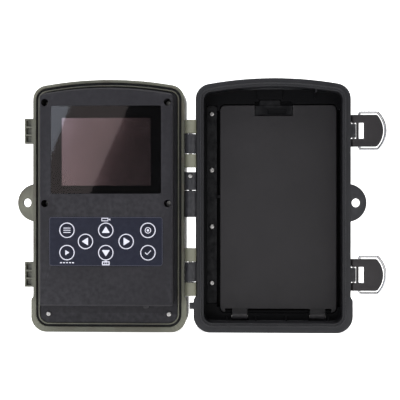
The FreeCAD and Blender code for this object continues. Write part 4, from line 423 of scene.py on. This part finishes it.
WEARS = {
    "shell_olive": ["front_shell"],
    "shell_black": ["rear_shell", "hinge_bumper", "duct_cap"],
    "trim_black": [
        "tree_bracket", "mode_switch_body", "mode_switch_knob", "lcd_frame", "dc_jack", "lens_barrel",
    ],
    "door_black": ["battery_door"],
    "strip_black": ["wiring_cover", "door_latch"],
    "cover_grey": ["inner_cover"],
    "tray_black": ["battery_tray"],
    "lever_black": ["latch_lever_upper", "latch_lever_lower"],
    "film_keypad": ["keypad_overlay"],
    "film_key": [n for n in NODES if n.startswith("key_") and n != "key_board"],
    "chip_black": ["board_parts", "image_sensor"],
    "card_blue": ["sd_card"],
    "rubber": ["gasket", "dc_plug", "power_lead_front", "power_lead_rear"],
    "steel": [
        "wiring_cover_screws", "cover_screws", "bracket_screws", "duct_cap_screw",
        "hinge_pins", "latch_pins", "door_pins", "pir_sensor",
    ],
    "spring": ["contact_springs", "contact_plates", "usb_port", "sd_slot"],
    "chrome": ["bail_upper", "bail_lower"],
    "brass": ["tripod_insert"],
    "pane": ["display_window"],
    "filter": ["ir_window"],
    "lens": ["lens_glass"],
    "led": ["ir_leds"],
    "lcd": ["lcd_module"],
    "fascia": ["front_fascia"],
    "circuit": ["key_board", "main_board", "ir_board", "sensor_board"],
    "fresnel": ["pir_lens"],
    "cells": ["aa_cells"],
}


def dress():
    for look, names in WEARS.items():
        for name in names:
            node = NODES[name]
            if not node.material_slots:
                node.data.materials.append(MATERIALS[look])
            for slot in node.material_slots:
                slot.material = MATERIALS[look]


# ---- flat printed shapes ----
class Plate:
    """Flat shapes in the XZ plane, each with a little thickness, as one mesh."""

    def __init__(self, y_front, y_back):
        self.mesh = bmesh.new()
        self.y_front = y_front
        self.y_back = y_back

    def polygon(self, points):
        """A closed outline, listed anticlockwise as the viewer sees it."""
        front = [self.mesh.verts.new((x, self.y_front, z)) for x, z in points]
        back = [self.mesh.verts.new((x, self.y_back, z)) for x, z in points]
        self.mesh.faces.new(front)
        self.mesh.faces.new(list(reversed(back)))
        count = len(points)
        for i in range(count):
            j = (i + 1) % count
            self.mesh.faces.new((front[j], front[i], back[i], back[j]))

    def ring(self, x, z, inner, outer, steps=72):
        loops = []
        front, back = self.y_front, self.y_back
        for radius, y in ((outer, front), (inner, front), (inner, back), (outer, back)):
            places = [(x + px, y, z + pz) for px, pz in disc(radius, steps)]
            loops.append([self.mesh.verts.new(place) for place in places])
        for a, b in zip(loops, loops[1:] + loops[:1]):
            for i in range(steps):
                j = (i + 1) % steps
                self.mesh.faces.new((a[i], a[j], b[j], b[i]))

    def finish(self, name, material, body):
        bmesh.ops.recalc_face_normals(self.mesh, faces=self.mesh.faces)
        data = bpy.data.meshes.new(name)
        self.mesh.to_mesh(data)
        self.mesh.free()
        data.materials.append(material)
        piece = bpy.data.objects.new(name, data)
        SCENE.collection.objects.link(piece)
        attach(piece, body)
        return piece


def rounded(corners, radius, steps=5):
    """A polygon's corners rounded, as a list of points."""
    points = []
    count = len(corners)
    for i, corner in enumerate(corners):
        here = Vector(corner)
        before = (Vector(corners[i - 1]) - here).normalized()
        after = (Vector(corners[(i + 1) % count]) - here).normalized()
        half = before.angle(after) / 2
        reach = radius / math.tan(half)
        a = here + before * reach
        b = here + after * reach
        for k in range(steps + 1):
            t = k / steps
            points.append(tuple(a * (1 - t) ** 2 + here * 2 * t * (1 - t) + b * t**2))
    return points


def disc(radius, steps=24):
    turns = [2 * math.pi * i / steps for i in range(steps)]
    return [(radius * math.cos(turn), radius * math.sin(turn)) for turn in turns]


def bar(x, z, w, h, radius):
    corners = [(x - w / 2, z - h / 2), (x + w / 2, z - h / 2), (x + w / 2, z + h / 2), (x - w / 2, z + h / 2)]
    return rounded(corners, radius)


def turned(points, x, z, angle):
    """Points about the origin, turned anticlockwise and moved to x, z."""
    c, s = math.cos(angle), math.sin(angle)
    return [(x + px * c - pz * s, z + px * s + pz * c) for px, pz in points]


def triangle(size):
    """A triangle that points to +X, about the origin."""
    tip, back, half = 0.62 * size, -0.42 * size, 0.66 * size
    return rounded([(tip, 0.0), (back, half), (back, -half)], 0.1 * size)


def icon(plate, name, x, z, r):
    """The generic mark of a key inside its ring."""
    turns = {"right": 0.0, "up": 90.0, "left": 180.0, "down": 270.0}
    if name in turns:
        plate.polygon(turned(triangle(0.92 * r), x, z, math.radians(turns[name])))
    elif name == "replay":
        plate.polygon(turned(triangle(0.6 * r), x, z, 0.0))
    elif name == "menu":
        for row in (-1, 0, 1):
            plate.polygon(bar(x, z + row * 0.32 * r, 1.05 * r, 0.11 * r, 0.03 * r))
    elif name == "shot":
        plate.ring(x, z, 0.36 * r, 0.46 * r, 48)
        plate.polygon(turned(disc(0.18 * r), x, z, 0.0))
    else:
        short = bar(0, 0, 0.42 * r, 0.12 * r, 0.03 * r)
        long = bar(0, 0, 0.84 * r, 0.12 * r, 0.03 * r)
        plate.polygon(turned(short, x - 0.27 * r, z - 0.12 * r, math.radians(-45)))
        plate.polygon(turned(long, x + 0.15 * r, z + 0.03 * r, math.radians(48)))


def key_prints():
    for name in ("menu", "up", "shot", "left", "right", "replay", "down", "ok"):
        low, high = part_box("key_" + name)
        x, z = (low.x + high.x) / 2, (low.z + high.z) / 2
        face_r = (high.x - low.x) / 2 - KEY_FLANGE
        plate = Plate(low.y - PRINT_UP, low.y + PRINT_T)
        outer = face_r - RING_INSET
        plate.ring(x, z, outer - RING_W, outer)
        icon(plate, name, x, z, outer - RING_W)
        plate.finish("print_" + name, MATERIALS["ink"], "key_" + name)


def pad_prints():
    """Marks for video, camera and replay beside their keys, and the film's outline."""
    low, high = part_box("keypad_overlay")
    x, z = (low.x + high.x) / 2, (low.z + high.z) / 2
    plate = Plate(low.y - PRINT_UP, low.y + PRINT_T)
    up = z + 12.35 * MM
    outline_box(plate, x - 0.5 * MM, up, 3.9 * MM, 1.9 * MM, 0.42 * MM)
    plate.polygon(turned(triangle(1.0 * MM), x + 2.1 * MM, up, math.pi))
    down = z - 12.3 * MM
    plate.ring(x, down, 0.5 * MM, 0.75 * MM, 32)
    outline_box(plate, x, down, 4.3 * MM, 2.2 * MM, 0.55 * MM)
    plate.polygon(bar(x, down + 1.25 * MM, 1.4 * MM, 0.4 * MM, 0.1 * MM))
    replay_low, replay_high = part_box("key_replay")
    replay_x = (replay_low.x + replay_high.x) / 2
    for i in range(5):
        plate.polygon(bar(replay_x + (i - 2) * 1.7 * MM, z - 12.0 * MM, 1.15 * MM, 0.55 * MM, 0.15 * MM))
    plate.finish("print_pad_marks", MATERIALS["ink"], "front")
    line = Plate(low.y - PRINT_UP / 2, low.y + PRINT_T)
    w, h = high.x - low.x - 2 * LINE_INSET, high.z - low.z - 2 * LINE_INSET
    frame_line(line, x, z, w, h, LINE_R, LINE_W)
    line.finish("print_pad_line", MATERIALS["faint_ink"], "front")


def frame_line(plate, x, z, w, h, radius, line_w):
    """A rounded rectangle drawn as one closed line."""
    outer = bar(x, z, w, h, radius)
    inner = bar(x, z, w - 2 * line_w, h - 2 * line_w, radius - line_w)
    count = len(outer)
    for i in range(count):
        j = (i + 1) % count
        plate.polygon([outer[i], outer[j], inner[j], inner[i]])


def outline_box(plate, x, z, w, h, line_w):
    """A rectangle drawn as four bars."""
    for side in (-1, 1):
        plate.polygon(bar(x, z + side * (h - line_w) / 2, w, line_w, line_w / 3))
        plate.polygon(bar(x + side * (w - line_w) / 2, z, line_w, h - 2 * line_w, line_w / 4))


def window_mask():
    """The black border printed on the back of the display window."""
    low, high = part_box("display_window")
    view_low, view_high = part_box("lcd_module")
    cx, cz = (view_low.x + view_high.x) / 2, (view_low.z + view_high.z) / 2
    y = high.y - 0.06 * MM
    plate = Plate(y, high.y - 0.01 * MM)
    x0, x1, z0, z1 = low.x + MASK_INSET, high.x - MASK_INSET, low.z + MASK_INSET, high.z - MASK_INSET
    vx0, vx1, vz0, vz1 = cx - VIEW_HALF_W, cx + VIEW_HALF_W, cz - VIEW_HALF_H, cz + VIEW_HALF_H
    for a0, a1, b0, b1 in ((x0, vx0, z0, z1), (vx1, x1, z0, z1), (vx0, vx1, z0, vz0), (vx0, vx1, vz1, z1)):
        plate.polygon([(a0, b0), (a1, b0), (a1, b1), (a0, b1)])
    plate.finish("window_mask", MATERIALS["mask"], "front")


def tripod_thread():
    """Turns of the quarter-inch thread inside the brass bush."""
    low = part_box("tripod_insert")[0]
    pitch, major, minor = THREAD_PITCH, THREAD_MAJOR_R, THREAD_MINOR_R
    root, crest = 0.42 * pitch, 0.08 * pitch
    turns, steps = 5, 48
    mesh = bmesh.new()
    rows = []
    for i in range(turns * steps + 1):
        turn = 2 * math.pi * i / steps
        z = low.z + THREAD_START + pitch * i / steps
        section = ((major, -root), (minor, -crest), (minor, crest), (major, root))
        rows.append([mesh.verts.new((r * math.cos(turn), r * math.sin(turn), z + dz)) for r, dz in section])
    for a, b in zip(rows, rows[1:]):
        for k in range(4):
            mesh.faces.new((a[k], a[(k + 1) % 4], b[(k + 1) % 4], b[k]))
    mesh.faces.new(rows[0])
    mesh.faces.new(list(reversed(rows[-1])))
    bmesh.ops.recalc_face_normals(mesh, faces=mesh.faces)
    data = bpy.data.meshes.new("tripod_thread")
    mesh.to_mesh(data)
    mesh.free()
    data.materials.append(MATERIALS["brass"])
    piece = bpy.data.objects.new("tripod_thread", data)
    SCENE.collection.objects.link(piece)
    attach(piece, "rear")


# ---- studio ----
def sweep_floor():
    """One seamless sheet: floor, a curved corner and a back wall."""
    half, front, back, corner, top = 4.0, -3.0, 1.6, 0.5, 3.0
    profile = [(front, 0.0), (back - corner, 0.0)]
    for i in range(1, 13):
        turn = math.pi / 2 * i / 12
        profile.append((back - corner + corner * math.sin(turn), corner - corner * math.cos(turn)))
    profile.append((back, top))
    mesh = bmesh.new()
    rows = [[mesh.verts.new((x, y, z - 0.0002)) for x in (-half, half)] for y, z in profile]
    for a, b in zip(rows, rows[1:]):
        mesh.faces.new((a[0], a[1], b[1], b[0]))
    data = bpy.data.meshes.new("studio_sheet")
    mesh.to_mesh(data)
    mesh.free()
    data.materials.append(studio("studio_paper"))
    sheet = bpy.data.objects.new("studio_sheet", data)
    SCENE.collection.objects.link(sheet)


def softbox(name, at, aim, size, power, roll=0.0):
    """A rectangular light; roll turns it about its own axis."""
    lamp = bpy.data.lights.new(name, "AREA")
    lamp.shape = "RECTANGLE"
    lamp.size, lamp.size_y = size
    lamp.energy = power
    piece = bpy.data.objects.new(name, lamp)
    direction = Vector(aim) - Vector(at)
    facing = direction.to_track_quat("-Z", "Y").to_matrix().to_4x4()
    piece.matrix_world = Matrix.Translation(at) @ facing @ Matrix.Rotation(roll, 4, "Z")
    SCENE.collection.objects.link(piece)
    return piece


def reflected_card(name, top, foot, size, radiance, colour, nearer=0.0):
    """A lit card by the camera. Its right edge runs through top and foot, a line the display mirrors."""
    edge = Vector((top[0] - foot[0], 0.0, top[1] - foot[1])).normalized()
    lean = math.atan2(edge.x, edge.z)
    middle = Vector(((top[0] + foot[0]) / 2, CARD_Y + nearer, (top[1] + foot[1]) / 2))
    width, height = size
    away = Vector((-edge.z, 0.0, edge.x))
    centre = middle + away * width / 2
    power = radiance * math.pi * width * height
    card = softbox(name, centre, centre + Vector((0.0, 1.0, 0.0)), size, power, -lean)
    card.data.color = colour


def lights():
    world = bpy.data.worlds.new("studio_air")
    world.use_nodes = True
    world.node_tree.nodes["Background"].inputs["Color"].default_value = (1.0, 1.0, 1.0, 1.0)
    world.node_tree.nodes["Background"].inputs["Strength"].default_value = WORLD_LIGHT
    SCENE.world = world
    reflected_card("card_wide", (-0.1445, 0.182), (-0.188, 0.083), (0.36, 0.42), 0.78, (1.0, 0.86, 0.85))
    reflected_card("card_near", (-0.209, 0.182), (-0.239, 0.104), (0.30, 0.42), 2.4, (0.74, 0.84, 1.0), 0.01)
    softbox("box_top", (-0.05, -0.25, 1.0), (-0.05, 0.0, 0.1), (1.4, 0.8), 14.0)
    softbox("box_right", (1.0, -0.5, 0.5), (0.0, 0.0, 0.07), (0.5, 1.0), 3.0)
    softbox("box_left", (-1.2, -0.4, 0.4), (-0.09, 0.0, 0.07), (0.5, 1.0), 5.0)
    softbox("box_back", (-0.2, 1.0, 0.9), (-0.05, 0.0, 0.07), (1.4, 0.7), 3.5)


def camera():
    data = bpy.data.cameras.new("camera")
    data.lens = CAMERA_LENS
    data.sensor_width = 36.0
    piece = bpy.data.objects.new("camera", data)
    piece.location = CAMERA_AT
    piece.rotation_euler = (math.pi / 2 + CAMERA_TILT, 0.0, CAMERA_TURN)
    SCENE.collection.objects.link(piece)
    SCENE.camera = piece


camera()
lights()
sweep_floor()
dress()
key_prints()
pad_prints()
window_mask()
tripod_thread()
SCENE.view_settings.view_transform = "Standard"
